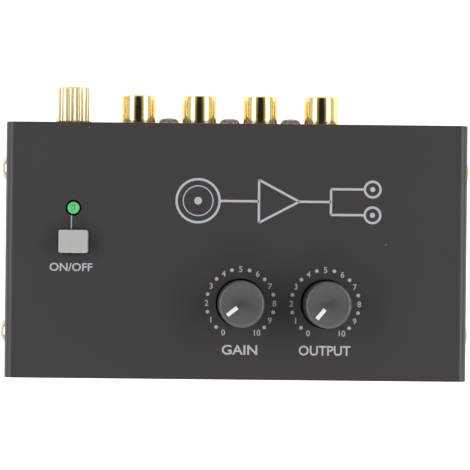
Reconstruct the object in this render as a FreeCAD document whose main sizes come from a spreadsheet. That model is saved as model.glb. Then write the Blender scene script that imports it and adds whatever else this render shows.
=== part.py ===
import FreeCAD, Part
import math
import os
import Sketcher

# Small phono preamp in a folded sheet-metal case: phono sockets, ground post and power inlet
# on the back, two dials, a power button and a light on top.
# X runs left to right, Y from front to back, Z up. The origin is on the surface that the
# feet stand on, below the middle of the whole object. All lengths are in millimetres.

SIZES = {
    # folded case
    "case_width": 108.0,
    "case_depth": 59.8,
    "case_height": 27.0,
    "sheet": 1.0,
    "cover_bend": 2.0,
    "tray_bend": 0.5,
    "slip_gap": 0.15,
    "cover_overhang": 0.3,
    "cover_hem": 0.2,
    "hole_gap": 0.25,
    "thread_gap": 0.05,
    "seat_gap": 0.05,
    "run_gap": 0.05,
    "axis_height": 16.0,
    # feet and case screws
    "foot_radius": 4.5,
    "foot_height": 2.5,
    "foot_taper": 0.6,
    "foot_inset": 9.0,
    "side_screw_spread": 39.0,
    "side_screw_radius": 1.45,
    "side_screw_length": 5.0,
    "side_head_radius": 2.85,
    "side_head_height": 2.1,
    "tab_width": 13.0,
    "tab_top": 5.0,
    "tab_corner": 2.0,
    # circuit board
    "board_thickness": 1.6,
    "board_margin": 1.2,
    "standoff_height": 4.5,
    "standoff_radius": 2.6,
    "board_screw_radius": 1.2,
    "board_screw_length": 4.5,
    "board_head_radius": 2.3,
    "board_head_height": 1.4,
    "board_screw_inset": 4.5,
    # phono sockets
    "phono_pitch": 14.6,
    "phono_inset": 30.6,
    "phono_reach": 7.6,
    "shell_radius": 4.15,
    "shell_wall": 0.5,
    "shell_seat": 3.0,
    "shell_neck": 0.35,
    "shell_edge": 0.3,
    "insulator_recess": 1.0,
    "contact_radius": 2.0,
    "contact_bore": 1.65,
    "contact_recess": 0.6,
    "phono_block_depth": 9.5,
    "phono_block_rise": 7.2,
    "phono_block_side": 7.2,
    "phono_block_bevel": 0.8,
    "socket_screw_radius": 1.2,
    "socket_screw_length": 6.0,
    "socket_head_radius": 2.55,
    "socket_head_height": 2.1,
    # ground post
    "ground_inset": 15.0,
    "stud_radius": 1.95,
    "stud_inside": 8.0,
    "post_reach": 9.3,
    "stud_recess": 0.5,
    "washer_radius": 4.0,
    "washer_thickness": 0.8,
    "thumb_radius": 4.22,
    "thumb_bevel": 0.5,
    "flute_depth": 0.32,
    "flute_width": 0.5,
    "flute_count": 30,
    "lock_nut_radius": 3.9,
    "lock_nut_height": 2.4,
    "lug_thickness": 0.5,
    "lug_radius": 3.6,
    "lug_tail": 7.0,
    "lug_tail_width": 3.0,
    "wire_radius": 0.7,
    "wire_bend": 3.6,
    # power inlet
    "inlet_inset": 15.0,
    "inlet_width": 9.0,
    "inlet_length": 14.0,
    "inlet_above": 5.2,
    "inlet_bore": 3.1,
    "inlet_bore_depth": 9.0,
    "inlet_pin_radius": 1.05,
    "inlet_pin_recess": 0.8,
    "inlet_edge": 0.5,
    # dials
    "dial_inset": 33.1,
    "dial_pitch": 19.8,
    "dial_back": -12.0,
    "dial_hole_radius": 5.72,
    "pot_width": 9.8,
    "pot_depth": 11.4,
    "pot_height": 10.0,
    "pot_edge": 0.6,
    "pot_split": 0.5,
    "bushing_radius": 3.5,
    "bushing_height": 4.0,
    "shaft_radius": 3.0,
    "shaft_seat": 6.0,
    "shaft_flat": 1.5,
    "shaft_flat_length": 9.0,
    "shaft_chamfer": 0.4,
    "knob_radius": 5.4,
    "knob_lift": 0.8,
    "knob_height": 16.0,
    "knob_edge": 1.1,
    "knob_dish": 0.35,
    "knob_rim": 4.25,
    "knob_end_wall": 3.6,
    "pointer_width": 0.9,
    "pointer_inner": 1.3,
    "pointer_outer": 4.1,
    "pointer_depth": 0.8,
    "pointer_gap": 0.03,
    "level_turn": 127.9,
    "volume_turn": 140.5,
    # power button
    "button_inset": 16.1,
    "button_back": 2.0,
    "button_width": 6.8,
    "button_depth": 5.4,
    "button_corner": 0.9,
    "button_rise": 3.2,
    "button_edge": 0.5,
    "button_hole_gap": 0.3,
    "button_flange": 0.9,
    "button_flange_height": 1.2,
    "button_flange_drop": 0.6,
    "button_travel": 2.0,
    "switch_side": 8.0,
    "switch_height": 8.5,
    "plunger_side": 3.2,
    "plunger_seat": 4.5,
    "cap_seat": 3.0,
    "spring_radius": 2.9,
    "spring_wire": 0.25,
    "spring_turns": 5,
    # light
    "light_inset": 15.95,
    "light_back": 9.86,
    "light_radius": 1.5,
    "light_flange_radius": 1.75,
    "light_flange_height": 1.0,
    "light_body": 3.4,
    "light_rise": 1.0,
    "light_hole_radius": 1.85,
    "lead_side": 0.5,
    "lead_pitch": 2.54,
    "lead_gap": 0.1,
    "spacer_radius": 2.6,
    # electronic pieces on the board
    "chip_width": 6.4,
    "chip_length": 9.4,
    "chip_height": 3.3,
    "chip_lift": 0.6,
    "chip_leg": 0.5,
    "chip_pitch": 2.54,
    "large_cap_radius": 3.15,
    "large_cap_height": 11.0,
    "cap_bevel": 0.4,
    "film_cap_width": 7.2,
    "film_cap_depth": 2.6,
    "film_cap_height": 6.5,
    "resistor_length": 6.0,
    "resistor_radius": 1.1,
    "resistor_wire": 0.3,
    "resistor_lift": 0.4,
    "regulator_width": 10.0,
    "regulator_depth": 4.5,
    "regulator_height": 9.0,
    "regulator_tab": 1.2,
    "regulator_tab_height": 5.0,
}


class Size(float):
    """A length that also knows the spreadsheet expression it comes from."""

    def __new__(cls, number, text):
        size = float.__new__(cls, number)
        size.text = text
        return size

    def join(self, sign, number, first, second):
        return Size(number, "(%s %s %s)" % (text_of(first), sign, text_of(second)))

    def __add__(self, other):
        return self.join("+", float(self) + float(other), self, other)

    def __radd__(self, other):
        return self.join("+", float(other) + float(self), other, self)

    def __sub__(self, other):
        return self.join("-", float(self) - float(other), self, other)

    def __rsub__(self, other):
        return self.join("-", float(other) - float(self), other, self)

    def __mul__(self, other):
        return self.join("*", float(self) * float(other), self, other)

    def __rmul__(self, other):
        return self.join("*", float(other) * float(self), other, self)

    def __truediv__(self, other):
        return self.join("/", float(self) / float(other), self, other)

    def __neg__(self):
        return Size(-float(self), "(0 - %s)" % self.text)


def text_of(number):
    """The expression for a size, or the digits of a plain number."""
    return number.text if isinstance(number, Size) else repr(float(number))


doc = FreeCAD.newDocument("phono_preamp")
pieces = []


class Sheet:
    """Every driving size, as a Size under its own name."""


def fill_sheet():
    """Writes the sizes into a spreadsheet and gives them back by name."""
    table = doc.addObject("Spreadsheet::Sheet", "Sizes")
    sizes = Sheet()
    for row, (name, value) in enumerate(SIZES.items(), start=1):
        table.set("A%d" % row, name)
        table.set("B%d" % row, str(value))
        table.setAlias("B%d" % row, name)
        setattr(sizes, name, Size(value, "Sizes." + name))
    doc.recompute()
    return sizes


size = fill_sheet()
AXIS = Size(0.0, "0")

# Shares that give a form its shape, whatever its size
PAST_THROUGH = 1.1  # how far a cut runs past the piece it goes through
CROWN_HEIGHT = 0.45  # share of a screw head's height that stands straight
CROWN_WIDTH = 0.62  # share of a screw head's radius that its flat top keeps
WIRE_ARC = 0.6  # share of the wire's bend that an arc takes off each run
WIRE_CREST = 0.8  # share of the wire's bend that it rises over the lug

# Heights and faces that more than one piece shares
case_middle = -size.post_reach / 2
floor_under = size.foot_height
floor_top = size.foot_height + size.sheet
cover_top = size.foot_height + size.case_height
cover_under = cover_top - size.sheet
wall_face = size.case_depth / 2 - size.cover_overhang
wall_inner = wall_face - size.sheet
tray_half = size.case_width / 2 - size.sheet - size.slip_gap
board_under = floor_top + size.standoff_height
board_top = board_under + size.board_thickness
board_half_width = tray_half - size.sheet - size.board_margin
board_half_depth = wall_inner - size.board_margin
case_left = -size.case_width / 2
case_right = size.case_width / 2
volume_dial_right = case_right - size.dial_inset
level_dial_right = volume_dial_right - size.dial_pitch
phono_left = case_left + size.phono_inset
shell_neck_radius = size.shell_radius - size.shell_neck
shell_inner_radius = size.shell_radius - size.shell_wall
ground_right = case_left + size.ground_inset
inlet_right = case_right - size.inlet_inset
button_right = case_left + size.button_inset
light_right = case_left + size.light_inset


def new_body(label):
    """A body with its label, standing on the middle of the case."""
    body = doc.addObject("PartDesign::Body", label)
    body.Label = label
    pieces.append(body)
    place(body)
    return body


def place(body, right=0.0, back=0.0, up=0.0):
    """Puts a body's origin at a place given from the middle of the case."""
    spot = case_middle + back
    body.setExpression("Placement.Base.x", text_of(right))
    body.setExpression("Placement.Base.y", spot.text)
    body.setExpression("Placement.Base.z", text_of(up))


def origin_part(body, role):
    """The body's own origin plane or axis with that role."""
    return [part for part in body.Origin.OriginFeatures if part.Role == role][0]


def new_sketch(body, plane, offset=0.0):
    """An empty sketch on one of the body's origin planes, moved along its normal."""
    sketch = body.newObject("Sketcher::SketchObject", "Sketch")
    sketch.AttachmentSupport = [(origin_part(body, plane), "")]
    sketch.MapMode = "FlatFace"
    sketch.setExpression("AttachmentOffset.Base.z", text_of(offset))
    return sketch


def bind(sketch, kind, where, value):
    """Adds a dimension to a sketch and ties it to its expression."""
    number = sketch.addConstraint(Sketcher.Constraint(kind, *where, float(value)))
    sketch.renameConstraint(number, "size%d" % number)
    sketch.setExpression("Constraints.size%d" % number, text_of(value))


def pin_point(sketch, geometry, vertex, point):
    """Fixes a vertex of a sketch at a place measured from the sketch's origin."""
    bind(sketch, "DistanceX", (-1, 1, geometry, vertex), point[0])
    bind(sketch, "DistanceY", (-1, 1, geometry, vertex), point[1])


def add_outline(sketch, points):
    """A closed outline of straight lines through the points."""
    first = sketch.GeometryCount
    count = len(points)
    for index, start in enumerate(points):
        end = points[(index + 1) % count]
        sketch.addGeometry(
            Part.LineSegment(FreeCAD.Vector(start[0], start[1], 0), FreeCAD.Vector(end[0], end[1], 0))
        )
    for index in range(count):
        after = first + (index + 1) % count
        sketch.addConstraint(Sketcher.Constraint("Coincident", first + index, 2, after, 1))
        pin_point(sketch, first + index, 1, points[index])


def add_box(sketch, left, right, low, high):
    """A rectangle between two values of each direction."""
    add_outline(sketch, [(left, low), (right, low), (right, high), (left, high)])


def add_circle(sketch, centre, radius):
    """A circle with its centre and radius tied to sizes."""
    circle = Part.Circle(FreeCAD.Vector(*centre, 0), FreeCAD.Vector(0, 0, 1), float(radius))
    number = sketch.addGeometry(circle)
    pin_point(sketch, number, 3, centre)
    bind(sketch, "Radius", (number,), radius)


def add_flatted_circle(sketch, radius, flat):
    """A circle about the sketch's origin, cut off by one straight side at X = flat."""
    turn = math.acos(float(flat) / float(radius))
    circle = Part.Circle(FreeCAD.Vector(0, 0, 0), FreeCAD.Vector(0, 0, 1), float(radius))
    arc = sketch.addGeometry(Part.ArcOfCircle(circle, turn, 2 * math.pi - turn))
    reach = float(radius) * math.sin(turn)
    line = sketch.addGeometry(
        Part.LineSegment(FreeCAD.Vector(float(flat), -reach, 0), FreeCAD.Vector(float(flat), reach, 0))
    )
    sketch.addConstraint(Sketcher.Constraint("Coincident", arc, 3, -1, 1))
    sketch.addConstraint(Sketcher.Constraint("Coincident", arc, 2, line, 1))
    sketch.addConstraint(Sketcher.Constraint("Coincident", arc, 1, line, 2))
    sketch.addConstraint(Sketcher.Constraint("Vertical", line))
    bind(sketch, "Radius", (arc,), radius)
    bind(sketch, "DistanceX", (-1, 1, line, 1), flat)


def grow(body, sketch, length, midplane=False, back=False):
    """Pads a sketch, by default along its plane's normal."""
    pad = body.newObject("PartDesign::Pad", "Pad")
    pad.Profile = sketch
    pad.setExpression("Length", text_of(length))
    pad.Midplane = midplane
    pad.Reversed = back
    doc.recompute()
    return pad


def cut(body, sketch, length, midplane=False, back=False):
    """Cuts a sketch out of a body, by default against its plane's normal."""
    before = body.Shape.Volume
    pocket = body.newObject("PartDesign::Pocket", "Pocket")
    pocket.Profile = sketch
    pocket.setExpression("Length", text_of(length))
    pocket.Midplane = midplane
    pocket.Reversed = back
    doc.recompute()
    if body.Shape.Volume >= before:
        raise RuntimeError("A pocket of %s cut nothing" % body.Label)
    return pocket


def turn(body, points, plane="XZ_Plane", axis="V_Axis"):
    """Revolves an outline about an axis of its sketch."""
    sketch = new_sketch(body, plane)
    add_outline(sketch, points)
    revolution = body.newObject("PartDesign::Revolution", "Revolution")
    revolution.Profile = sketch
    revolution.ReferenceAxis = (sketch, [axis])
    revolution.Angle = 360
    doc.recompute()
    return revolution


def round_edges(body, radius, chosen, kind="Fillet"):
    """Rounds or bevels the edges of a body that a test picks out."""
    names = ["Edge%d" % (number + 1) for number, edge in enumerate(body.Tip.Shape.Edges) if chosen(edge)]
    if not names:
        raise RuntimeError("No edge of %s to round" % body.Label)
    base = body.Tip
    feature = body.newObject("PartDesign::" + kind, kind)
    feature.Base = (base, names)
    feature.setExpression("Radius" if kind == "Fillet" else "Size", text_of(radius))
    doc.recompute()
    if "Invalid" in feature.State:
        raise RuntimeError("%s could not be rounded at %s" % (body.Label, names))
    return feature


def near(first, second):
    """True where two lengths are the same place."""
    return abs(float(first) - float(second)) < 0.001


def edge_middle(edge):
    """The middle of an edge's box, in the body's own place."""
    return edge.BoundBox.Center


def repeat(body, steps, mirrors=(), originals=None):
    """Repeats the whole body in rows along its axes, then mirrors it.

    Each step gives an axis, a spacing and a count.
    """
    pattern = body.newObject("PartDesign::MultiTransform", "Repeat")
    if originals:
        pattern.Originals = originals
    else:
        pattern.TransformMode = "Whole shape"
    transforms = []
    for axis, spacing, count in steps:
        row = body.newObject("PartDesign::LinearPattern", "Row")
        row.Direction = (origin_part(body, axis), [""])
        row.Mode = "Spacing"
        row.setExpression("Offset", text_of(spacing))
        row.Occurrences = count
        transforms.append(row)
    for plane in mirrors:
        mirror = body.newObject("PartDesign::Mirrored", "Mirror")
        mirror.MirrorPlane = (origin_part(body, plane), [""])
        transforms.append(mirror)
    pattern.Transformations = transforms
    body.Tip = pattern
    doc.recompute()
    return pattern


def hexagon(radius):
    """The corners of a hexagon about the origin."""
    turns = [math.radians(60 * side) for side in range(6)]
    return [(radius * math.cos(angle), radius * math.sin(angle)) for angle in turns]


def phono_places():
    """The four phono sockets' places across the case, from the left."""
    return [phono_left + size.phono_pitch * number for number in range(4)]


def base_tray():
    """Floor, front wall and back wall folded from one sheet, with four side tabs."""
    body = new_body("base_tray")
    wall_top = cover_under - size.slip_gap
    sketch = new_sketch(body, "YZ_Plane")
    add_outline(sketch, [
        (-wall_face, floor_under), (wall_face, floor_under), (wall_face, wall_top),
        (wall_inner, wall_top), (wall_inner, floor_top), (-wall_inner, floor_top),
        (-wall_inner, wall_top), (-wall_face, wall_top),
    ])
    grow(body, sketch, tray_half * 2, midplane=True)
    round_edges(body, size.tray_bend + size.sheet, lambda edge: near(edge_middle(edge).z, floor_under)
                and near(abs(edge_middle(edge).y), wall_face))
    round_edges(body, size.tray_bend, lambda edge: near(edge_middle(edge).z, floor_top)
                and near(abs(edge_middle(edge).y), wall_inner))
    round_edges(body, size.cover_bend, lambda edge: near(edge_middle(edge).z, wall_top)
                and near(abs(edge_middle(edge).x), tray_half))
    side_tabs(body)
    sketch = new_sketch(body, "YZ_Plane")
    for side in (-1, 1):
        middle = size.side_screw_spread / 2 * side
        add_circle(sketch, (middle, size.axis_height), size.side_screw_radius + size.thread_gap)
    cut(body, sketch, tray_half * 2 + size.sheet * 2, midplane=True)
    back_wall_holes(body)


def side_tabs(body):
    """Four upright tabs that take the side screws."""
    tab_top = size.axis_height + size.tab_top
    sketch = new_sketch(body, "YZ_Plane", tray_half)
    for side in (-1, 1):
        middle = size.side_screw_spread / 2 * side
        add_box(sketch, middle - size.tab_width / 2, middle + size.tab_width / 2, floor_under, tab_top)
    tabs = grow(body, sketch, size.sheet, back=True)
    repeat(body, [], ["YZ_Plane"], [tabs])
    round_edges(body, size.tab_corner, lambda edge: near(edge_middle(edge).z, tab_top)
                and near(edge.BoundBox.YLength, 0.0) and near(edge.BoundBox.XLength, size.sheet))


def back_wall_holes(body):
    """Holes of the back wall for the sockets, their screws, the ground stud and the inlet."""
    sketch = new_sketch(body, "XZ_Plane", -(wall_inner - size.sheet))
    for right in phono_places():
        add_circle(sketch, (right, size.axis_height), shell_neck_radius + size.hole_gap)
    for right in phono_places()[:3]:
        add_circle(sketch, (right + size.phono_pitch / 2, size.axis_height),
                   size.socket_screw_radius + size.hole_gap)
    add_circle(sketch, (ground_right, size.axis_height), size.stud_radius + size.hole_gap)
    inlet_half = size.inlet_width / 2 + size.hole_gap
    add_box(sketch, inlet_right - inlet_half, inlet_right + inlet_half,
            board_top - size.hole_gap, size.axis_height + size.inlet_above + size.hole_gap)
    cut(body, sketch, size.sheet * 3)


def top_cover():
    """Top and both sides folded from one sheet, with its bends rounded and its holes cut."""
    body = new_body("top_cover")
    half = size.case_width / 2
    hem = floor_under + size.cover_hem
    sketch = new_sketch(body, "XZ_Plane")
    add_outline(sketch, [
        (-half, hem), (-half + size.sheet, hem),
        (-half + size.sheet, cover_under), (half - size.sheet, cover_under),
        (half - size.sheet, hem), (half, hem), (half, cover_top), (-half, cover_top),
    ])
    grow(body, sketch, size.case_depth, midplane=True)
    round_edges(body, size.cover_bend - size.sheet, lambda edge: near(edge_middle(edge).z, cover_under)
                and near(abs(edge_middle(edge).x), half - size.sheet))
    round_edges(body, size.cover_bend, lambda edge: near(edge_middle(edge).z, cover_top)
                and near(abs(edge_middle(edge).x), half))
    sketch = new_sketch(body, "XY_Plane", cover_top + size.sheet)
    for right in (level_dial_right, volume_dial_right):
        add_circle(sketch, (right, size.dial_back), size.dial_hole_radius)
    add_circle(sketch, (light_right, size.light_back), size.light_hole_radius)
    hole_x = size.button_width / 2 + size.button_hole_gap
    hole_y = size.button_depth / 2 + size.button_hole_gap
    add_box(sketch, button_right - hole_x, button_right + hole_x,
            size.button_back - hole_y, size.button_back + hole_y)
    cut(body, sketch, size.sheet * 3)
    round_edges(body, size.button_corner + size.button_hole_gap,
                lambda edge: near(edge.BoundBox.ZLength, size.sheet)
                and near(abs(edge_middle(edge).x - button_right), hole_x)
                and near(abs(edge_middle(edge).y - size.button_back), hole_y))
    sketch = new_sketch(body, "YZ_Plane")
    for side in (-1, 1):
        add_circle(sketch, (size.side_screw_spread / 2 * side, size.axis_height),
                   size.side_screw_radius + size.hole_gap)
    cut(body, sketch, size.case_width * PAST_THROUGH, midplane=True)


def pan_head(base, radius, height, shank, length):
    """Half outline of a pan-head screw along its axis: (radius, height) from the seat."""
    crown = height * CROWN_HEIGHT
    return [
        (AXIS, base - length), (shank, base - length), (shank, base), (radius, base),
        (radius, base + crown), (radius * CROWN_WIDTH, base + height), (AXIS, base + height),
    ]


def screw(label, axis, base, radius, height, shank, length):
    """A pan-head screw along X, Y or Z, its head's seat at a height along that axis."""
    body = new_body(label)
    outline = pan_head(base, radius, height, shank, length)
    if axis == "X_Axis":
        turn(body, [(far, across) for across, far in outline], "XY_Plane", "H_Axis")
    elif axis == "Y_Axis":
        turn(body, outline, "XY_Plane")
    else:
        turn(body, outline)
    return body


def cover_screws():
    """Two screws on each side that hold the cover to the tray's tabs."""
    body = screw("cover_screws", "X_Axis", size.case_width / 2, size.side_head_radius, size.side_head_height,
                 size.side_screw_radius, size.side_screw_length)
    place(body, 0.0, -size.side_screw_spread / 2, size.axis_height)
    repeat(body, [("Y_Axis", size.side_screw_spread, 2)], ["YZ_Plane"])


def rubber_feet():
    """Four round feet under the corners of the floor."""
    body = new_body("rubber_feet")
    across = size.case_width - size.foot_inset * 2
    along = size.case_depth - size.foot_inset * 2
    turn(body, [
        (AXIS, AXIS), (size.foot_radius - size.foot_taper, AXIS),
        (size.foot_radius, size.foot_height), (AXIS, size.foot_height),
    ])
    place(body, -across / 2, -along / 2, 0.0)
    repeat(body, [("X_Axis", across, 2), ("Y_Axis", along, 2)])


def circuit_board():
    """The board, with a hole over each standoff."""
    body = new_body("circuit_board")
    sketch = new_sketch(body, "XY_Plane", board_under)
    add_box(sketch, -board_half_width, board_half_width, -board_half_depth, board_half_depth)
    for side in (-1, 1):
        for end in (-1, 1):
            add_circle(sketch, ((board_half_width - size.board_screw_inset) * side,
                                (board_half_depth - size.board_screw_inset) * end),
                       size.board_screw_radius + size.hole_gap)
    grow(body, sketch, size.board_thickness)


def board_fixings():
    """Standoffs under the board and the screws that hold it to them."""
    across = (board_half_width - size.board_screw_inset) * 2
    along = (board_half_depth - size.board_screw_inset) * 2
    rows = [("X_Axis", across, 2), ("Y_Axis", along, 2)]
    tube = new_body("board_standoffs")
    sketch = new_sketch(tube, "XY_Plane")
    add_outline(sketch, hexagon(size.standoff_radius))
    add_circle(sketch, (AXIS, AXIS), size.board_screw_radius + size.thread_gap)
    grow(tube, sketch, size.standoff_height)
    place(tube, -across / 2, -along / 2, floor_top)
    repeat(tube, rows)
    body = screw("board_screws", "Z_Axis", AXIS, size.board_head_radius, size.board_head_height,
                 size.board_screw_radius, size.board_screw_length)
    place(body, -across / 2, -along / 2, board_top)
    repeat(body, rows)


def phono_socket_block():
    """Moulded block on the board that carries the four phono sockets."""
    body = new_body("phono_socket_block")
    left = phono_places()[0] - size.phono_block_side
    right = phono_places()[3] + size.phono_block_side
    front = wall_inner - size.phono_block_depth
    top = size.axis_height + size.phono_block_rise
    sketch = new_sketch(body, "XY_Plane", board_top)
    add_box(sketch, left, right, front, wall_inner)
    grow(body, sketch, top - board_top)
    round_edges(body, size.phono_block_bevel, lambda edge: near(edge_middle(edge).z, top), "Chamfer")
    sketch = new_sketch(body, "XZ_Plane", -wall_inner)
    for place_across in phono_places():
        add_circle(sketch, (place_across, size.axis_height), shell_neck_radius + size.seat_gap)
    cut(body, sketch, size.shell_seat, back=True)
    sketch = new_sketch(body, "XZ_Plane", -wall_inner)
    for place_across in phono_places():
        add_circle(sketch, (place_across, size.axis_height), size.contact_bore)
    cut(body, sketch, size.phono_block_depth * PAST_THROUGH, back=True)
    sketch = new_sketch(body, "XZ_Plane", -wall_inner)
    for place_across in phono_places()[:3]:
        add_circle(sketch, (place_across + size.phono_pitch / 2, size.axis_height),
                   size.socket_screw_radius + size.thread_gap)
    cut(body, sketch, size.socket_screw_length, back=True)


def phono_shell(label, across):
    """The outer metal tube of one phono socket, set into the block."""
    body = new_body(label)
    outer = size.shell_radius
    inner = shell_inner_radius
    root = wall_inner - size.shell_seat
    mouth = wall_face + size.phono_reach
    turn(body, [
        (inner, root), (shell_neck_radius, root), (shell_neck_radius, wall_face), (outer, wall_face),
        (outer, mouth - size.shell_edge), (outer - size.shell_edge, mouth), (inner, mouth),
    ], "XY_Plane")
    place(body, across, 0.0, size.axis_height)


def phono_insides():
    """The coloured insulators and the centre contacts inside the shells."""
    root = wall_inner - size.shell_seat
    mouth = wall_face + size.phono_reach
    for label, first in (("left_channel_insulators", 0), ("right_channel_insulators", 1)):
        body = new_body(label)
        turn(body, [
            (size.contact_radius + size.seat_gap, root),
            (shell_inner_radius - size.seat_gap, root),
            (shell_inner_radius - size.seat_gap, mouth - size.insulator_recess),
            (size.contact_radius + size.seat_gap, mouth - size.insulator_recess),
        ], "XY_Plane")
        place(body, phono_places()[first], 0.0, size.axis_height)
        repeat(body, [("X_Axis", size.phono_pitch * 2, 2)])
    body = new_body("phono_centre_contacts")
    tip = mouth - size.insulator_recess - size.contact_recess
    turn(body, [
        (size.contact_bore, root), (size.contact_radius, root),
        (size.contact_radius, tip), (size.contact_bore, tip),
    ], "XY_Plane")
    place(body, phono_places()[0], 0.0, size.axis_height)
    repeat(body, [("X_Axis", size.phono_pitch, 4)])


def socket_screws():
    """Three screws through the back wall into the socket block."""
    body = screw("socket_screws", "Y_Axis", wall_face, size.socket_head_radius, size.socket_head_height,
                 size.socket_screw_radius, size.socket_screw_length)
    place(body, phono_places()[0] + size.phono_pitch / 2, 0.0, size.axis_height)
    repeat(body, [("X_Axis", size.phono_pitch, 3)])


def ring(label, inner, outer, start, length, across, up):
    """A plain ring about an axis that runs front to back."""
    body = new_body(label)
    turn(body, [(inner, start), (outer, start), (outer, start + length), (inner, start + length)], "XY_Plane")
    place(body, across, 0.0, up)
    return body


def ground_post():
    """Ground stud through the back wall, with its nuts, washer, lug and thumb nut."""
    bore = size.stud_radius + size.run_gap
    stud = new_body("ground_stud")
    tip = wall_face + size.cover_overhang + size.post_reach - size.stud_recess
    turn(stud, [
        (AXIS, wall_inner - size.stud_inside), (size.stud_radius, wall_inner - size.stud_inside),
        (size.stud_radius, tip - size.thumb_bevel), (size.stud_radius - size.thumb_bevel, tip), (AXIS, tip),
    ], "XY_Plane")
    place(stud, ground_right, 0.0, size.axis_height)
    ring("ground_washer", bore, size.washer_radius, wall_face, size.washer_thickness,
         ground_right, size.axis_height)
    thumb_nut(bore, wall_face + size.washer_thickness, wall_face + size.cover_overhang + size.post_reach)
    nut_face = wall_inner - size.lug_thickness
    nut = new_body("ground_lock_nut")
    sketch = new_sketch(nut, "XZ_Plane", -nut_face)
    add_outline(sketch, hexagon(size.lock_nut_radius))
    add_circle(sketch, (AXIS, AXIS), bore)
    grow(nut, sketch, size.lock_nut_height)
    place(nut, ground_right, 0.0, size.axis_height)
    lug = new_body("ground_lug")
    sketch = new_sketch(lug, "XZ_Plane", -wall_inner)
    add_circle(sketch, (AXIS, AXIS), size.lug_radius)
    grow(lug, sketch, size.lug_thickness)
    sketch = new_sketch(lug, "XZ_Plane", -wall_inner)
    add_box(sketch, -size.lug_tail_width / 2, size.lug_tail_width / 2, AXIS, size.lug_tail)
    grow(lug, sketch, size.lug_thickness)
    sketch = new_sketch(lug, "XZ_Plane", -wall_inner)
    add_circle(sketch, (AXIS, AXIS), bore)
    cut(lug, sketch, size.lug_thickness, back=True)
    place(lug, ground_right, 0.0, size.axis_height)
    ground_wire()


def thumb_nut(bore, start, end):
    """Knurled thumb nut: a bevelled sleeve with straight flutes all round."""
    body = new_body("ground_thumb_nut")
    turn(body, [
        (bore, start), (size.thumb_radius - size.thumb_bevel, start),
        (size.thumb_radius, start + size.thumb_bevel),
        (size.thumb_radius, end - size.thumb_bevel), (size.thumb_radius - size.thumb_bevel, end), (bore, end),
    ], "XY_Plane")
    sketch = new_sketch(body, "XZ_Plane", -(start - size.sheet))
    add_outline(sketch, [
        (-size.flute_width / 2, size.thumb_radius + size.flute_depth),
        (AXIS, size.thumb_radius - size.flute_depth),
        (size.flute_width / 2, size.thumb_radius + size.flute_depth),
    ])
    flute = cut(body, sketch, end - start + size.sheet * 2)
    round_row = body.newObject("PartDesign::PolarPattern", "Flutes")
    round_row.Originals = [flute]
    round_row.Axis = (origin_part(body, "Y_Axis"), [""])
    round_row.Angle = 360
    round_row.setExpression("Occurrences", size.flute_count.text)
    body.Tip = round_row
    doc.recompute()
    place(body, ground_right, 0.0, size.axis_height)


def ground_wire():
    """Insulated wire from the lug's tail down to the board, straight runs joined by arcs."""
    radius = size.wire_radius
    lane = wall_inner - size.lug_thickness - radius - size.run_gap
    top = size.axis_height + size.lug_tail
    bend = size.wire_bend * WIRE_ARC
    crest = top + size.wire_bend * WIRE_CREST
    outer = lane + case_middle
    inner = outer - size.wire_bend * 3
    points = [
        FreeCAD.Vector(ground_right, outer, top - bend),
        FreeCAD.Vector(ground_right, outer, crest),
        FreeCAD.Vector(ground_right, inner, crest),
        FreeCAD.Vector(ground_right, inner, board_top + size.run_gap),
    ]
    edges = []
    last = points[0]
    for before, corner, after in zip(points, points[1:], points[2:]):
        into = (corner - before).normalize()
        out = (after - corner).normalize()
        start = corner - into * float(bend)
        end = corner + out * float(bend)
        centre = start + out * float(bend)
        middle = centre + (corner - centre).normalize() * float(bend)
        edges.append(Part.LineSegment(last, start).toShape())
        edges.append(Part.Arc(start, middle, end).toShape())
        last = end
    edges.append(Part.LineSegment(last, points[-1]).toShape())
    path = Part.Wire(edges)
    corners = [points[0] + FreeCAD.Vector(across, back, 0) for across, back in hexagon(radius)]
    section = Part.makePolygon(corners + corners[:1])
    wire = doc.addObject("Part::Feature", "ground_wire")
    wire.Label = "ground_wire"
    wire.Shape = path.makePipeShell([section], True, False)
    pieces.append(wire)
    print("ground wire: bend radius %.2f mm, length %.1f mm" % (float(bend), path.Length))


def power_inlet():
    """Barrel inlet in the back wall, with its centre pin and side contact."""
    body = new_body("power_inlet_housing")
    mouth = wall_face
    front = mouth - size.inlet_length
    half = size.inlet_width / 2
    sketch = new_sketch(body, "XY_Plane", board_top)
    add_box(sketch, -half, half, front, mouth)
    grow(body, sketch, size.axis_height + size.inlet_above - board_top)
    round_edges(body, size.inlet_edge, lambda edge: near(abs(edge_middle(edge).x), half)
                and near(edge_middle(edge).z, size.axis_height + size.inlet_above), "Chamfer")
    sketch = new_sketch(body, "XZ_Plane", -mouth)
    add_circle(sketch, (AXIS, size.axis_height), size.inlet_bore)
    cut(body, sketch, size.inlet_bore_depth, back=True)
    place(body, inlet_right, 0.0, 0.0)
    pin = new_body("power_inlet_pin")
    root = mouth - size.inlet_bore_depth
    tip = mouth - size.inlet_pin_recess
    shoulder = size.inlet_pin_radius / 2
    turn(pin, [
        (AXIS, root), (size.inlet_pin_radius, root), (size.inlet_pin_radius, tip - shoulder),
        (size.inlet_pin_radius - shoulder, tip), (AXIS, tip),
    ], "XY_Plane")
    place(pin, inlet_right, 0.0, size.axis_height)


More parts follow.
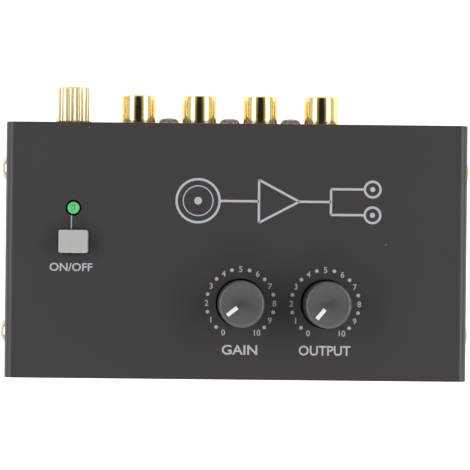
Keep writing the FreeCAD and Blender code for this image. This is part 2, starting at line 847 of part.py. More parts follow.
def pot(name, across):
    """One dial's potentiometer: two stacked gangs on a wafer, and its bushing."""
    half_x = size.pot_width / 2
    half_y = size.pot_depth / 2
    gang = (size.pot_height - size.pot_split) / 2
    pot_top = board_top + size.pot_height
    for label, low, high in ((name + "_pot_lower_gang", board_top, board_top + gang),
                             (name + "_pot_upper_gang", pot_top - gang, pot_top)):
        body = new_body(label)
        sketch = new_sketch(body, "XY_Plane", low)
        add_box(sketch, -half_x, half_x, -half_y, half_y)
        grow(body, sketch, high - low)
        round_edges(body, size.pot_edge, lambda edge: near(edge.BoundBox.ZLength, gang))
        if label.endswith("upper_gang"):
            sketch = new_sketch(body, "XY_Plane", high)
            add_circle(sketch, (AXIS, AXIS), size.shaft_radius + size.run_gap)
            cut(body, sketch, size.shaft_seat - size.bushing_height)
        place(body, across, size.dial_back, 0.0)
    wafer = new_body(name + "_pot_wafer")
    sketch = new_sketch(wafer, "XY_Plane", board_top + gang)
    inset = size.pot_edge / 2
    add_box(sketch, -half_x + inset, half_x - inset, -half_y + inset, half_y - inset)
    grow(wafer, sketch, size.pot_split)
    place(wafer, across, size.dial_back, 0.0)
    bushing = new_body(name + "_pot_bushing")
    sketch = new_sketch(bushing, "XY_Plane", board_top + size.pot_height)
    add_circle(sketch, (AXIS, AXIS), size.bushing_radius)
    add_circle(sketch, (AXIS, AXIS), size.shaft_radius + size.run_gap)
    grow(bushing, sketch, size.bushing_height)
    place(bushing, across, size.dial_back, 0.0)


def dial(name, across, rest_turn):
    """The turning pieces of one dial: shaft, knob and pointer, at their rest angle."""
    shaft_low = board_top + size.pot_height + size.bushing_height - size.shaft_seat
    knob_low = board_top + size.pot_height + size.bushing_height + size.knob_lift
    knob_top = knob_low + size.knob_height
    shaft_top = knob_top - size.knob_end_wall - size.seat_gap
    flat = size.shaft_radius - size.shaft_flat
    shaft = new_body(name + "_shaft")
    sketch = new_sketch(shaft, "XY_Plane", shaft_low)
    add_circle(sketch, (AXIS, AXIS), size.shaft_radius)
    grow(shaft, sketch, shaft_top - size.shaft_flat_length - shaft_low)
    sketch = new_sketch(shaft, "XY_Plane", shaft_top - size.shaft_flat_length)
    add_flatted_circle(sketch, size.shaft_radius, flat)
    grow(shaft, sketch, size.shaft_flat_length)
    round_edges(shaft, size.shaft_chamfer, lambda edge: near(edge_middle(edge).z, shaft_top), "Chamfer")
    knob = new_body(name + "_knob")
    shoulder = size.knob_edge * (1 - math.sqrt(0.5))
    turn(knob, [
        (AXIS, knob_low), (size.knob_radius, knob_low), (size.knob_radius, knob_top - size.knob_edge),
        (size.knob_radius - shoulder, knob_top - shoulder), (size.knob_rim, knob_top),
        (AXIS, knob_top - size.knob_dish),
    ])
    sketch = new_sketch(knob, "XY_Plane", knob_low)
    add_circle(sketch, (AXIS, AXIS), size.shaft_radius + size.seat_gap)
    cut(knob, sketch, shaft_top - size.shaft_flat_length - knob_low, back=True)
    sketch = new_sketch(knob, "XY_Plane", knob_low)
    add_flatted_circle(sketch, size.shaft_radius + size.seat_gap, flat + size.seat_gap)
    cut(knob, sketch, size.knob_height - size.knob_end_wall, back=True)
    half = size.pointer_width / 2
    pocket_low = knob_top - size.knob_dish - size.pointer_depth
    sketch = new_sketch(knob, "XY_Plane", knob_top + size.sheet)
    add_box(sketch, -half - size.pointer_gap, half + size.pointer_gap,
            size.pointer_inner - size.pointer_gap, size.pointer_outer + size.pointer_gap)
    cut(knob, sketch, knob_top + size.sheet - pocket_low)
    pointer = new_body(name + "_pointer")
    sketch = new_sketch(pointer, "YZ_Plane")
    slope = size.knob_dish / size.knob_rim
    add_outline(sketch, [
        (size.pointer_inner, pocket_low), (size.pointer_outer, pocket_low),
        (size.pointer_outer, knob_top - size.knob_dish + slope * size.pointer_outer),
        (size.pointer_inner, knob_top - size.knob_dish + slope * size.pointer_inner),
    ])
    grow(pointer, sketch, size.pointer_width, midplane=True)
    for body in (shaft, knob, pointer):
        place(body, across, size.dial_back, 0.0)
        body.Placement = FreeCAD.Placement(body.Placement.Base, FreeCAD.Rotation(FreeCAD.Vector(0, 0, 1), 1))
        body.setExpression("Placement.Rotation.Angle", rest_turn.text)


def power_switch():
    """Push switch on the board with its plunger, return spring and button cap."""
    half = size.switch_side / 2
    switch_top = board_top + size.switch_height
    cap_top = cover_top + size.button_rise
    flange_top = cover_under - size.button_flange_drop
    flange_low = flange_top - size.button_flange_height
    stem = size.plunger_side / 2
    body = new_body("power_switch_body")
    sketch = new_sketch(body, "XY_Plane", board_top)
    add_box(sketch, -half, half, -half, half)
    grow(body, sketch, size.switch_height)
    round_edges(body, size.pot_edge, lambda edge: near(edge_middle(edge).z, switch_top), "Chamfer")
    sketch = new_sketch(body, "XY_Plane", switch_top)
    hole = stem + size.run_gap
    add_box(sketch, -hole, hole, -hole, hole)
    cut(body, sketch, size.plunger_seat + size.button_travel)
    plunger = new_body("power_switch_plunger")
    sketch = new_sketch(plunger, "XY_Plane", switch_top - size.plunger_seat + size.run_gap)
    add_box(sketch, -stem, stem, -stem, stem)
    grow(plunger, sketch, flange_low + size.cap_seat - (switch_top - size.plunger_seat + size.run_gap))
    cap = new_body("power_button_cap")
    cap_x = size.button_width / 2
    cap_y = size.button_depth / 2
    sketch = new_sketch(cap, "XY_Plane", flange_low)
    add_box(sketch, -cap_x, cap_x, -cap_y, cap_y)
    grow(cap, sketch, cap_top - flange_low)
    round_edges(cap, size.button_corner, lambda edge: near(edge.BoundBox.ZLength, cap_top - flange_low))
    round_edges(cap, size.button_edge, lambda edge: near(edge_middle(edge).z, cap_top))
    sketch = new_sketch(cap, "XY_Plane", flange_low)
    add_box(sketch, -cap_x - size.button_flange, cap_x + size.button_flange,
            -cap_y - size.button_flange, cap_y + size.button_flange)
    grow(cap, sketch, size.button_flange_height)
    sketch = new_sketch(cap, "XY_Plane", flange_low)
    socket = stem + size.seat_gap
    add_box(sketch, -socket, socket, -socket, socket)
    cut(cap, sketch, size.cap_seat + size.seat_gap, back=True)
    spring = new_body("power_switch_spring")
    low = switch_top + size.spring_wire + size.run_gap
    high = flange_low - size.spring_wire - size.run_gap
    sketch = new_sketch(spring, "XZ_Plane")
    add_outline(sketch, [(size.spring_radius + across, low + up) for across, up in hexagon(size.spring_wire)])
    coil = spring.newObject("PartDesign::AdditiveHelix", "Coil")
    coil.Profile = sketch
    coil.ReferenceAxis = (sketch, ["V_Axis"])
    coil.Mode = 0
    coil.setExpression("Pitch", ((high - low) / size.spring_turns).text)
    coil.setExpression("Height", (high - low).text)
    doc.recompute()
    for piece in (body, plunger, cap, spring):
        place(piece, button_right, size.button_back, 0.0)


def power_light():
    """Round light under its hole, on a spacer, with two long legs."""
    top = cover_top + size.light_rise
    shoulder = top - size.light_radius
    low = shoulder - size.light_body
    lens = new_body("power_light")
    turn(lens, [
        (AXIS, low), (size.light_flange_radius, low),
        (size.light_flange_radius, low + size.light_flange_height),
        (size.light_radius, low + size.light_flange_height),
    ] + [(size.light_radius * math.cos(math.radians(rise)),
          shoulder + size.light_radius * math.sin(math.radians(rise)))
         for rise in (0, 30, 60)] + [(AXIS, top)])
    spacer = new_body("power_light_spacer")
    sketch = new_sketch(spacer, "XY_Plane", board_top)
    add_circle(sketch, (AXIS, AXIS), size.spacer_radius)
    side = size.lead_side / 2
    for end in (-1, 1):
        middle = size.lead_pitch / 2 * end
        add_box(sketch, middle - side - size.lead_gap, middle + side + size.lead_gap,
                -side - size.lead_gap, side + size.lead_gap)
    grow(spacer, sketch, low - board_top)
    legs = new_body("power_light_legs")
    sketch = new_sketch(legs, "XY_Plane", board_top)
    for end in (-1, 1):
        middle = size.lead_pitch / 2 * end
        add_box(sketch, middle - side, middle + side, -side, side)
    grow(legs, sketch, low - board_top)
    for piece in (lens, spacer, legs):
        place(piece, light_right, size.light_back, 0.0)


def board_pieces():
    """Chips, capacitors, resistors and regulator soldered to the board."""
    chips = new_body("amplifier_chips")
    half_x = size.chip_length / 2
    half_y = size.chip_width / 2
    sketch = new_sketch(chips, "XY_Plane", board_top + size.chip_lift)
    add_box(sketch, -half_x, half_x, -half_y, half_y)
    grow(chips, sketch, size.chip_height)
    sketch = new_sketch(chips, "XY_Plane", board_top)
    for row in (-1, 1):
        for number in range(4):
            middle = size.chip_pitch * (number - 1.5)
            outer = (half_y + size.chip_leg) * row
            inner = (half_y - size.chip_leg) * row
            add_box(sketch, middle - size.chip_leg / 2, middle + size.chip_leg / 2,
                    min(outer, inner), max(outer, inner))
    grow(chips, sketch, size.chip_lift + size.chip_height / 2)
    behind = wall_inner - size.phono_block_depth - size.chip_width * 1.3
    place(chips, phono_places()[0] + size.phono_pitch / 2, behind, 0.0)
    repeat(chips, [("X_Axis", size.chip_length * 1.8, 2)])
    large = new_body("electrolytic_capacitors")
    turn(large, [
        (AXIS, AXIS), (size.large_cap_radius, AXIS),
        (size.large_cap_radius, size.large_cap_height - size.cap_bevel),
        (size.large_cap_radius - size.cap_bevel, size.large_cap_height), (AXIS, size.large_cap_height),
    ])
    place(large, inlet_right, -board_half_depth + size.large_cap_radius * 4, board_top)
    repeat(large, [("Y_Axis", size.large_cap_radius * 2.6, 3)])
    film = new_body("film_capacitors")
    sketch = new_sketch(film, "XY_Plane", board_top)
    add_box(sketch, -size.film_cap_width / 2, size.film_cap_width / 2,
            -size.film_cap_depth / 2, size.film_cap_depth / 2)
    grow(film, sketch, size.film_cap_height)
    place(film, -size.film_cap_width * 2.2, -board_half_depth + size.film_cap_depth * 3, 0.0)
    repeat(film, [("Y_Axis", size.film_cap_depth * 2, 4)])
    resistors()
    regulator = new_body("voltage_regulator")
    sketch = new_sketch(regulator, "XY_Plane", board_top)
    add_box(sketch, -size.regulator_width / 2, size.regulator_width / 2, AXIS, size.regulator_depth)
    grow(regulator, sketch, size.regulator_height)
    sketch = new_sketch(regulator, "XY_Plane", board_top + size.regulator_height)
    add_box(sketch, -size.regulator_width / 2, size.regulator_width / 2, AXIS, size.regulator_tab)
    grow(regulator, sketch, size.regulator_tab_height)
    behind = wall_inner - size.inlet_length - size.regulator_depth * 1.4
    place(regulator, inlet_right - size.regulator_width, behind, 0.0)


def resistors():
    """A row of small resistors lying on the board, each with its two bent legs."""
    body = new_body("resistors")
    half = size.resistor_length / 2
    up = size.resistor_radius + size.resistor_lift
    wire = size.resistor_wire
    reach = half + wire * 5
    sketch = new_sketch(body, "YZ_Plane", -half)
    add_circle(sketch, (AXIS, up), size.resistor_radius)
    grow(body, sketch, size.resistor_length)
    sketch = new_sketch(body, "XZ_Plane")
    for side in (-1, 1):
        add_outline(sketch, [
            ((half - wire) * side, up - wire), ((reach - wire * 2) * side, up - wire),
            ((reach - wire * 2) * side, AXIS), (reach * side, AXIS),
            (reach * side, up + wire), ((half - wire) * side, up + wire),
        ])
    grow(body, sketch, wire * 2, midplane=True)
    place(body, button_right + size.switch_side * 1.6, -board_half_depth + size.resistor_radius * 4, board_top)
    repeat(body, [("Y_Axis", size.resistor_radius * 3.6, 6)])


def check_document():
    """Stops where an object failed or a piece has no sound solid."""
    doc.recompute()
    for item in doc.Objects:
        if "Invalid" in item.State or "Error" in item.State:
            raise RuntimeError("%s failed: %s" % (item.Label, item.State))
    for piece in pieces:
        if piece.Shape.isNull() or not piece.Shape.isValid():
            raise RuntimeError("%s has no sound shape" % piece.Label)


def write_pieces():
    """Writes each piece's solids to its own file."""
    os.makedirs("parts", exist_ok=True)
    for piece in pieces:
        piece.Shape.exportStep("parts/%s.step" % piece.Label)
        box = piece.Shape.BoundBox
        print("%-26s solids %2d  volume %9.1f  x %6.1f %6.1f  y %6.1f %6.1f  z %5.1f %5.1f" % (
            piece.Label, len(piece.Shape.Solids), piece.Shape.Volume,
            box.XMin, box.XMax, box.YMin, box.YMax, box.ZMin, box.ZMax))


base_tray()
top_cover()
cover_screws()
rubber_feet()
circuit_board()
board_fixings()
phono_socket_block()
shell_names = ("input_left_shell", "input_right_shell", "output_left_shell", "output_right_shell")
for shell_name, shell_across in zip(shell_names, phono_places()):
    phono_shell(shell_name, shell_across)
phono_insides()
socket_screws()
ground_post()
power_inlet()
for dial_name, dial_across, dial_turn in (
        ("level", level_dial_right, size.level_turn), ("volume", volume_dial_right, size.volume_turn)):
    pot(dial_name, dial_across)
    dial(dial_name, dial_across, dial_turn)
power_switch()
power_light()
board_pieces()
check_document()
write_pieces()
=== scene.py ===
import math

import bmesh
import bpy
from mathutils import Matrix, Vector


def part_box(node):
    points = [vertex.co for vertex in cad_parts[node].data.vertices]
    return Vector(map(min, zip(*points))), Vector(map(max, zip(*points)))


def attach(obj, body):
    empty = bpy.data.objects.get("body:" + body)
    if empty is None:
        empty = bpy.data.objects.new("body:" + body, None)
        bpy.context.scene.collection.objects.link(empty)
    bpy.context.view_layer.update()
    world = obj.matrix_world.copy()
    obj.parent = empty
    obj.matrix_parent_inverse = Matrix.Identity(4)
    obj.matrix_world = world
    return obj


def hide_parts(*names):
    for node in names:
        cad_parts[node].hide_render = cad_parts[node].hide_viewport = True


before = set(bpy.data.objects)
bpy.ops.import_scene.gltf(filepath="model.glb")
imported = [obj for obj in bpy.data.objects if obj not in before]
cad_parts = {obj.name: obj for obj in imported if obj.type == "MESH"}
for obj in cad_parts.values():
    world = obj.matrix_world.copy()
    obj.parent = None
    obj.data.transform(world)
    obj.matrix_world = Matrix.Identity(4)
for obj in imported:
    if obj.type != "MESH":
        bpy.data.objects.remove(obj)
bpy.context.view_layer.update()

bl_info = {
    "name": "Phono preamp dressing",
    "version": (1, 0, 0),
    "blender": (4, 5, 0),
    "location": "3D View > Sidebar > Preamp",
    "description": "Models and finishes the visible pieces of a small phono preamp around its frame",
    "category": "Object",
}

ROOT = "root"
DIALS = ("level", "volume")
SHELLS = ("input_left", "input_right", "output_left", "output_right")

MM = 0.001
SAME_PLACE = 1e-7
SAME_HEIGHT = 1e-6
CIRCLE_STEPS = 96
FINE_CIRCLE_STEPS = 128
SMALL_CIRCLE_STEPS = 64

# A turn in radians that never repeats, so that no two screws stand alike
GOLDEN_ANGLE = 2.39996

# The photograph's width, the pixel straight below the camera and the scale on the cover
PHOTO_WIDTH = 470.0
BELOW_CAMERA = (185.0, 260.0)
PIXELS_PER_MM = 4.287

# The camera's place over the cover, in millimetres right of and behind the middle of the case
CAMERA_OVER = (-11.92, -2.06)
SENSOR_WIDTH = 36.0

# Holes in the cover, each a little wider than what stands in it
DIAL_HOLE = 5.72 * MM
LIGHT_HOLE = 1.85 * MM
SCREW_HOLE = 1.7 * MM
SLOT_SIZE = (7.4 * MM, 6.0 * MM)
SLOT_CORNER = 1.2 * MM

# Radii of the screw heads
SIDE_HEAD = 2.85 * MM
BACK_HEAD = 2.55 * MM

# Shares of the plastic's colour on a knob's top, each at a share of the knob's radius: painted shade in the
# middle and on the rounded rim, and a painted sheen in a ring between
KNOB_PAINTED_SHEEN_AND_SHADE = ((0.0, 0.50), (0.22, 0.72), (0.50, 0.95), (0.78, 1.10), (0.90, 0.85), (1.0, 0.55))

# Colours of the lit lens, each at a share of the lens's radius: a painted highlight in the middle, a
# painted light ring near the edge, and painted shade at the rim, which also turns the flange beyond it
# nearly black as the shade in the hole round it
LENS_PAINTED_LIGHT_AND_SHADE = (
    (0.0, (0.16, 0.80, 0.30)), (0.28, (0.02, 0.26, 0.07)), (0.55, (0.04, 0.42, 0.12)),
    (0.80, (0.20, 0.72, 0.32)), (0.98, (0.02, 0.20, 0.05)), (1.0, (0.0, 0.01, 0.003)),
)

# The marks of a dial's scale, by their angles in degrees from straight back
SCALE_START = -150
SCALE_STEP = 15
SCALE_MARKS = 21

# The line through the button and its light, in millimetres right of the middle of the case
SWITCH_RIGHT = -38.5

# Labels on the cover: name, words, millimetres right and back from the middle, height and width
LABELS = (
    ("gain_label", "GAIN", 1.0, -22.9, 2.3, 8.3),
    ("output_label", "OUTPUT", 20.85, -22.9, 2.3, 12.1),
    ("switch_label", "ON/OFF", SWITCH_RIGHT, -3.96, 1.9, 10.0),
)

# Lamps: name, place, size and power
LAMPS = (
    ("lamp_left", (-0.55, 0.05, 0.55), (0.9, 0.30), 3.0),
    ("lamp_right", (0.60, 0.05, 0.55), (0.9, 0.30), 3.6),
    ("lamp_front", (0.0, -0.70, 0.75), (0.9, 0.4), 2.4),
)


def node_box(name):
    """Lowest and highest corner of a node of the frame, as vectors."""
    low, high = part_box(name)
    return Vector(low), Vector(high)


def node_middle(name):
    """The middle of a node's box."""
    low, high = node_box(name)
    return (low + high) / 2


COVER_LOW, COVER_HIGH = node_box("top_cover")
COVER_TOP = COVER_HIGH.z
CASE_MIDDLE = (COVER_LOW + COVER_HIGH) / 2


def on_cover(right, back, lift=0.0):
    """A place on the cover in metres, from millimetres measured from the middle of the case."""
    return Vector((right * MM, CASE_MIDDLE.y + back * MM, COVER_TOP + lift))


def at_height(spot, height):
    """The place straight above or below a spot, at a height."""
    return Vector((spot.x, spot.y, height))


def size_setting(name, description, millimetres):
    """A size that a user may change."""
    return bpy.props.FloatProperty(
        name=name, description=description, default=millimetres * MM, unit="LENGTH")


def colour_setting(name, description, colour):
    """A colour that a user may change."""
    return bpy.props.FloatVectorProperty(
        name=name, description=description, default=colour, subtype="COLOR")


class PreampCase(bpy.types.PropertyGroup):
    """Sizes and colours of the folded case."""

    sheet: size_setting("Sheet", "Thickness of the folded sheet", 1.0)
    bend: size_setting("Bend", "Outer radius of the cover's bends", 2.0)
    edge: size_setting("Edge", "Softening of cut edges", 0.12)
    paint: colour_setting("Paint", "Powder coat", (0.039, 0.0325, 0.0355))
    rubber: colour_setting("Rubber", "Feet", (0.022, 0.022, 0.022))


class PreampDials(bpy.types.PropertyGroup):
    """Sizes and colours of the two dials and their printed scales."""

    edge: size_setting("Edge", "Rounding of the knob's rim", 0.85)
    dish: size_setting("Dish", "Depth of the hollow in the knob's top", 0.34)
    rim: size_setting("Rim", "Radius where the hollow starts", 4.5)
    scale_radius: size_setting("Scale radius", "Circle that the numbers stand on", 7.93)
    number_height: size_setting("Number height", "Height of a number", 1.38)
    dot_radius: size_setting("Dot", "Radius of a dot", 0.43)
    plastic: colour_setting("Plastic", "Knob", (0.075, 0.070, 0.074))
    pointer: colour_setting("Pointer", "Pointer inlay", (0.82, 0.83, 0.85))


class PreampPrint(bpy.types.PropertyGroup):
    """Sizes and colour of the print on the cover."""

    ink: colour_setting("Ink", "Screen print", (0.44, 0.455, 0.50))
    thickness: size_setting("Thickness", "Height of the ink over the paint", 0.03)
    line: size_setting("Line", "Width of a drawn line", 0.55)


class PreampMetals(bpy.types.PropertyGroup):
    """Colours of the plated pieces and of the button."""

    gold: colour_setting("Gold", "Phono shells", (0.80, 0.62, 0.29))
    pale_gold: colour_setting("Pale gold", "Ground post", (0.86, 0.75, 0.48))
    nickel: colour_setting("Nickel", "Side screws", (0.52, 0.48, 0.43))
    # The socket screws share the side screws' plating; their darker colour is painted shade standing in for
    # the dark surroundings they reflect
    nickel_painted_dark: colour_setting("Nickel painted dark", "Socket screws", (0.20, 0.19, 0.185))
    button: colour_setting("Button", "Power button", (0.47, 0.455, 0.44))


class PreampStage(bpy.types.PropertyGroup):
    """Floor and camera."""

    floor: colour_setting("Floor", "Floor", (0.80, 0.80, 0.80))
    distance: size_setting("Distance", "Camera over the cover", 450.0)
    turn: bpy.props.FloatProperty(
        name="Turn", description="Camera's turn about its own axis", default=math.radians(0.577),
        subtype="ANGLE")


def shown(name, data):
    """A new object in the scene."""
    made = bpy.data.objects.new(name, data)
    bpy.context.collection.objects.link(made)
    return made


def finished(name, mesh, look, body=ROOT, node=None):
    """A piece at the origin: dressed, shown, riding on its body and standing for its node."""
    mesh.name = name
    mesh.materials.clear()
    mesh.materials.append(look.material)
    piece = shown(name, mesh)
    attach(piece, body)
    if node:
        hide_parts(node)


def written(work):
    """Writes a bmesh into a new mesh and frees it."""
    mesh = bpy.data.meshes.new("shape")
    work.to_mesh(mesh)
    work.free()
    return mesh


def read_back(mesh):
    """A new bmesh that holds a mesh."""
    work = bmesh.new()
    work.from_mesh(mesh)
    return work


def mesh_of(work, sharp=35.0):
    """Turns a bmesh into a mesh with smooth faces and sharp creases."""
    bmesh.ops.remove_doubles(work, verts=work.verts, dist=SAME_PLACE)
    bmesh.ops.recalc_face_normals(work, faces=work.faces)
    return creased(written(work), sharp)


def creased(mesh, sharp):
    """Shades a mesh smooth up to an angle in degrees."""
    for face in mesh.polygons:
        face.use_smooth = True
    mesh.set_sharp_from_angle(angle=math.radians(sharp))
    return mesh


def settle(mesh, modifiers, sharp=35.0):
    """Applies modifiers, each a type and its settings, to a mesh and gives the result."""
    holder = shown("holder", mesh)
    for kind, settings in modifiers:
        modifier = holder.modifiers.new(kind.lower(), kind)
        for setting, value in settings.items():
            setattr(modifier, setting, value)
    bpy.context.view_layer.update()
    graph = bpy.context.evaluated_depsgraph_get()
    result = bpy.data.meshes.new_from_object(
        holder.evaluated_get(graph), preserve_all_data_layers=True, depsgraph=graph)
    bpy.data.objects.remove(holder)
    return creased(result, sharp) if sharp else result


def combined(mesh, other, operation):
    """Two meshes made one by a boolean operation."""
    tool = shown("tool", other)
    result = settle(mesh, [("BOOLEAN", {"object": tool, "operation": operation, "solver": "EXACT"})])
    bpy.data.objects.remove(tool)
    return result


def cut_out(mesh, cutters):
    """Takes meshes out of a mesh, one after another."""
    for cutter in cutters:
        mesh = combined(mesh, cutter, "DIFFERENCE")
    return mesh


def softened(mesh, width, sharp=35.0):
    """Rounds a mesh's sharp edges a little and keeps its large faces flat to the light."""
    rounded = settle(mesh, [("BEVEL", {
        "width": width, "segments": 2, "limit_method": "ANGLE", "angle_limit": math.radians(sharp),
    })], 50.0)
    return settle(rounded, [("WEIGHTED_NORMAL", {"weight": 90, "keep_sharp": True})], None)


def turn_to(axis):
    """The rotation that lays a piece made along Z along another axis."""
    if axis == "Y":
        return Matrix.Rotation(math.radians(-90), 4, "X")
    if axis == "X":
        return Matrix.Rotation(math.radians(90), 4, "Y")
    return Matrix.Identity(4)


def bevel_edges(work, edges, radius, segments):
    """Rounds some edges of a bmesh."""
    bmesh.ops.bevel(work, geom=list(edges), affect="EDGES", offset=radius, segments=segments,
                    profile=0.5, material=-1, clamp_overlap=True)


def turn_about(work, angle, axis):
    """Turns a bmesh about an axis through the origin."""
    bmesh.ops.rotate(work, verts=work.verts, cent=(0, 0, 0), matrix=Matrix.Rotation(angle, 3, axis))


def only(kind, grown):
    """The vertices or the edges of what an extrusion made."""
    return [item for item in grown["geom"] if isinstance(item, kind)]


def lathe(profile, rounds=(), steps=CIRCLE_STEPS, closed=False):
    """Spins an outline of (radius, height) about Z; rounds gives (corner, radius, segments)."""
    work = bmesh.new()
    verts = [work.verts.new((radius, 0.0, height)) for radius, height in profile]
    for first, second in zip(verts, verts[1:]):
        work.edges.new((first, second))
    if closed:
        work.edges.new((verts[-1], verts[0]))
    bmesh.ops.spin(work, geom=list(work.verts) + list(work.edges), cent=(0, 0, 0), axis=(0, 0, 1),
                   angle=math.tau, steps=steps, use_merge=True, use_duplicate=False)
    bmesh.ops.remove_doubles(work, verts=work.verts, dist=SAME_PLACE)
    for corner, radius, segments in rounds:
        across, height = profile[corner]
        ring = [edge for edge in work.edges if all(
            abs(vert.co.z - height) < SAME_HEIGHT and abs(vert.co.xy.length - across) < SAME_HEIGHT
            for vert in edge.verts)]
        bevel_edges(work, ring, radius, segments)
    bmesh.ops.recalc_face_normals(work, faces=work.faces)
    return work


def rounded_block(size, upright, rim):
    """A block on the XY plane; upright and rim give (radius, segments) for its sides and its top."""
    work = bmesh.new()
    bmesh.ops.create_cube(work, size=1.0)
    bmesh.ops.translate(work, verts=work.verts, vec=(0, 0, 0.5))
    bmesh.ops.scale(work, verts=work.verts, vec=size)
    sides = [edge for edge in work.edges
             if abs(edge.verts[0].co.z - edge.verts[1].co.z) > SAME_HEIGHT]
    bevel_edges(work, sides, *upright)
    top = max(vert.co.z for vert in work.verts)
    brink = [edge for edge in work.edges
             if all(abs(vert.co.z - top) < SAME_HEIGHT for vert in edge.verts)]
    bevel_edges(work, brink, *rim)
    return work


def placed(work, spot, axis="Z", spin=0.0):
    """Turns a bmesh to an axis and moves it to its place."""
    matrix = Matrix.Translation(spot) @ turn_to(axis) @ Matrix.Rotation(spin, 4, "Z")
    bmesh.ops.transform(work, matrix=matrix, verts=work.verts)
    return work


def gathered(works):
    """Joins several bmeshes into one."""
    whole = bmesh.new()
    for work in works:
        mesh = written(work)
        whole.from_mesh(mesh)
        bpy.data.meshes.remove(mesh)
    return whole


def copies(mesh, spots, axis="Z", turn=0.0):
    """One bmesh that holds a mesh at several places, each turned a step further than the last."""
    return gathered(placed(read_back(mesh), spot, axis, turn * number) for number, spot in enumerate(spots))


def row(low, high, radius, count, back):
    """Places in a row across a node's box, for round pieces that reach its two ends."""
    first, last = low.x + radius, high.x - radius
    step = (last - first) / (count - 1)
    return [Vector((first + step * number, back, (low.z + high.z) / 2)) for number in range(count)]


def feed(tree, node, values):
    """Gives a node's inputs their values: a value that is another node's socket is linked."""
    for name, value in dict(values).items():
        if isinstance(value, bpy.types.NodeSocket):
            tree.links.new(value, node.inputs[name])
        else:
            node.inputs[name].default_value = value


def add_node(tree, kind, values=(), **settings):
    """A node with its inputs' values and its own settings."""
    node = tree.nodes.new("ShaderNode" + kind)
    for name, value in settings.items():
        setattr(node, name, value)
    feed(tree, node, values)
    return node


def calculate(tree, operation, *values):
    """The result of a calculation on sockets and plain numbers."""
    return add_node(tree, "Math", enumerate(values), operation=operation).outputs[0]


def blended(tree, share, first, second):
    """A value between two others, by a share."""
    return add_node(tree, "Mix", {0: share, 2: first, 3: second}, data_type="FLOAT").outputs[0]


def object_place(tree):
    """The place of a point of the surface, in the piece's own frame."""
    return add_node(tree, "TexCoord").outputs["Object"]


def new_group(name, inputs, outputs):
    """A shader node group: its tree, the sockets of its inputs and its end node."""
    group = bpy.data.node_groups.new(name, "ShaderNodeTree")
    for label, value in inputs.items():
        kind = "Float" if isinstance(value, float) else "Color" if len(value) == 4 else "Vector"
        socket = group.interface.new_socket(label, in_out="INPUT", socket_type="NodeSocket" + kind)
        socket.default_value = value
    for label, kind in outputs.items():
        group.interface.new_socket(label, in_out="OUTPUT", socket_type="NodeSocket" + kind)
    start = group.nodes.new("NodeGroupInput")
    return group, start.outputs, group.nodes.new("NodeGroupOutput")


def mottle_group():
    """Slow change of a colour over a surface."""
    group, given, end = new_group(
        "Mottle", {"Color": (0.5, 0.5, 0.5, 1), "Scale": 100.0, "Spread": 0.1}, {"Color": "Color"})
    noise = add_node(group, "TexNoise", {
        "Vector": object_place(group), "Scale": given["Scale"], "Detail": 4.0, "Roughness": 0.55})
    centred = calculate(group, "SUBTRACT", noise.outputs["Fac"], 0.5)
    change = calculate(group, "MULTIPLY", centred, given["Spread"])
    tone = add_node(group, "HueSaturation", {
        "Color": given["Color"], "Value": calculate(group, "ADD", change, 1.0)})
    feed(group, end, {"Color": tone.outputs["Color"]})
    return group


def grain_group():
    """Fine and coarse grain as a height, with a roughness that follows it."""
    group, given, end = new_group("Grain", {
        "Fine Scale": 4000.0, "Coarse Scale": 900.0, "Coarse Share": 0.35, "Roughness": 0.5,
        "Roughness Spread": 0.1}, {"Height": "Float", "Roughness": "Float"})
    fine, coarse = [add_node(group, "TexNoise", {
        "Vector": object_place(group), "Scale": given[scale], "Detail": 2.0, "Roughness": roughness,
    }).outputs["Fac"] for scale, roughness in (("Fine Scale", 0.6), ("Coarse Scale", 0.5))]
    height = blended(group, given["Coarse Share"], fine, coarse)
    centred = calculate(group, "SUBTRACT", height, 0.5)
    rough = calculate(group, "MULTIPLY_ADD", centred, given["Roughness Spread"], given["Roughness"])
    feed(group, end, {"Height": height, "Roughness": rough})
    return group


def speck_group():
    """Sparse tiny specks, as dust on a coat, as a mask."""
    group, given, end = new_group(
        "Specks", {"Scale": 300.0, "Size": 0.06, "Share": 0.2}, {"Mask": "Float"})
    cells = add_node(group, "TexVoronoi", {"Vector": object_place(group), "Scale": given["Scale"]})
    small = calculate(group, "LESS_THAN", cells.outputs["Distance"], given["Size"])
    split = add_node(group, "SeparateColor", {"Color": cells.outputs["Color"]})
    chosen = calculate(group, "LESS_THAN", split.outputs["Red"], given["Share"])
    feed(group, end, {"Mask": calculate(group, "MULTIPLY", small, chosen)})
    return group


def span_group():
    """Distance from an upright axis, as a share of a reach."""
    group, given, end = new_group("Radial span", {"Centre": (0, 0, 0), "Reach": MM}, {"Share": "Float"})
    offset = add_node(
        group, "VectorMath", {0: object_place(group), 1: given["Centre"]}, operation="SUBTRACT")
    flat = add_node(group, "VectorMath", {0: offset.outputs[0], 1: (1, 1, 0)}, operation="MULTIPLY")
    length = add_node(group, "VectorMath", {0: flat.outputs[0]}, operation="LENGTH")
    feed(group, end, {"Share": calculate(group, "DIVIDE", length.outputs["Value"], given["Reach"])})
    return group


def ring_group():
    """Turned rings about an upright axis, as a height."""
    group, given, end = new_group(
        "Turned rings", {"Centre": (0, 0, 0), "Pitch": 0.12 * MM, "Waver": 0.3}, {"Height": "Float"})
    turns = use_group(group, span_group, {"Centre": given["Centre"], "Reach": given["Pitch"]}).outputs[0]
    noise = add_node(group, "TexNoise", {"W": turns, "Scale": 1.0, "Detail": 3.0}, noise_dimensions="1D")
    wave = calculate(group, "SINE", turns)
    feed(group, end, {"Height": blended(group, given["Waver"], wave, noise.outputs["Fac"])})
    return group


GROUPS = {}


def use_group(tree, maker, values):
    """Places a shared node group with its own values, and builds the group the first time."""
    if maker not in GROUPS:
        GROUPS[maker] = maker()
    node = tree.nodes.new("ShaderNodeGroup")
    node.node_tree = GROUPS[maker]
    feed(tree, node, values)
    return node


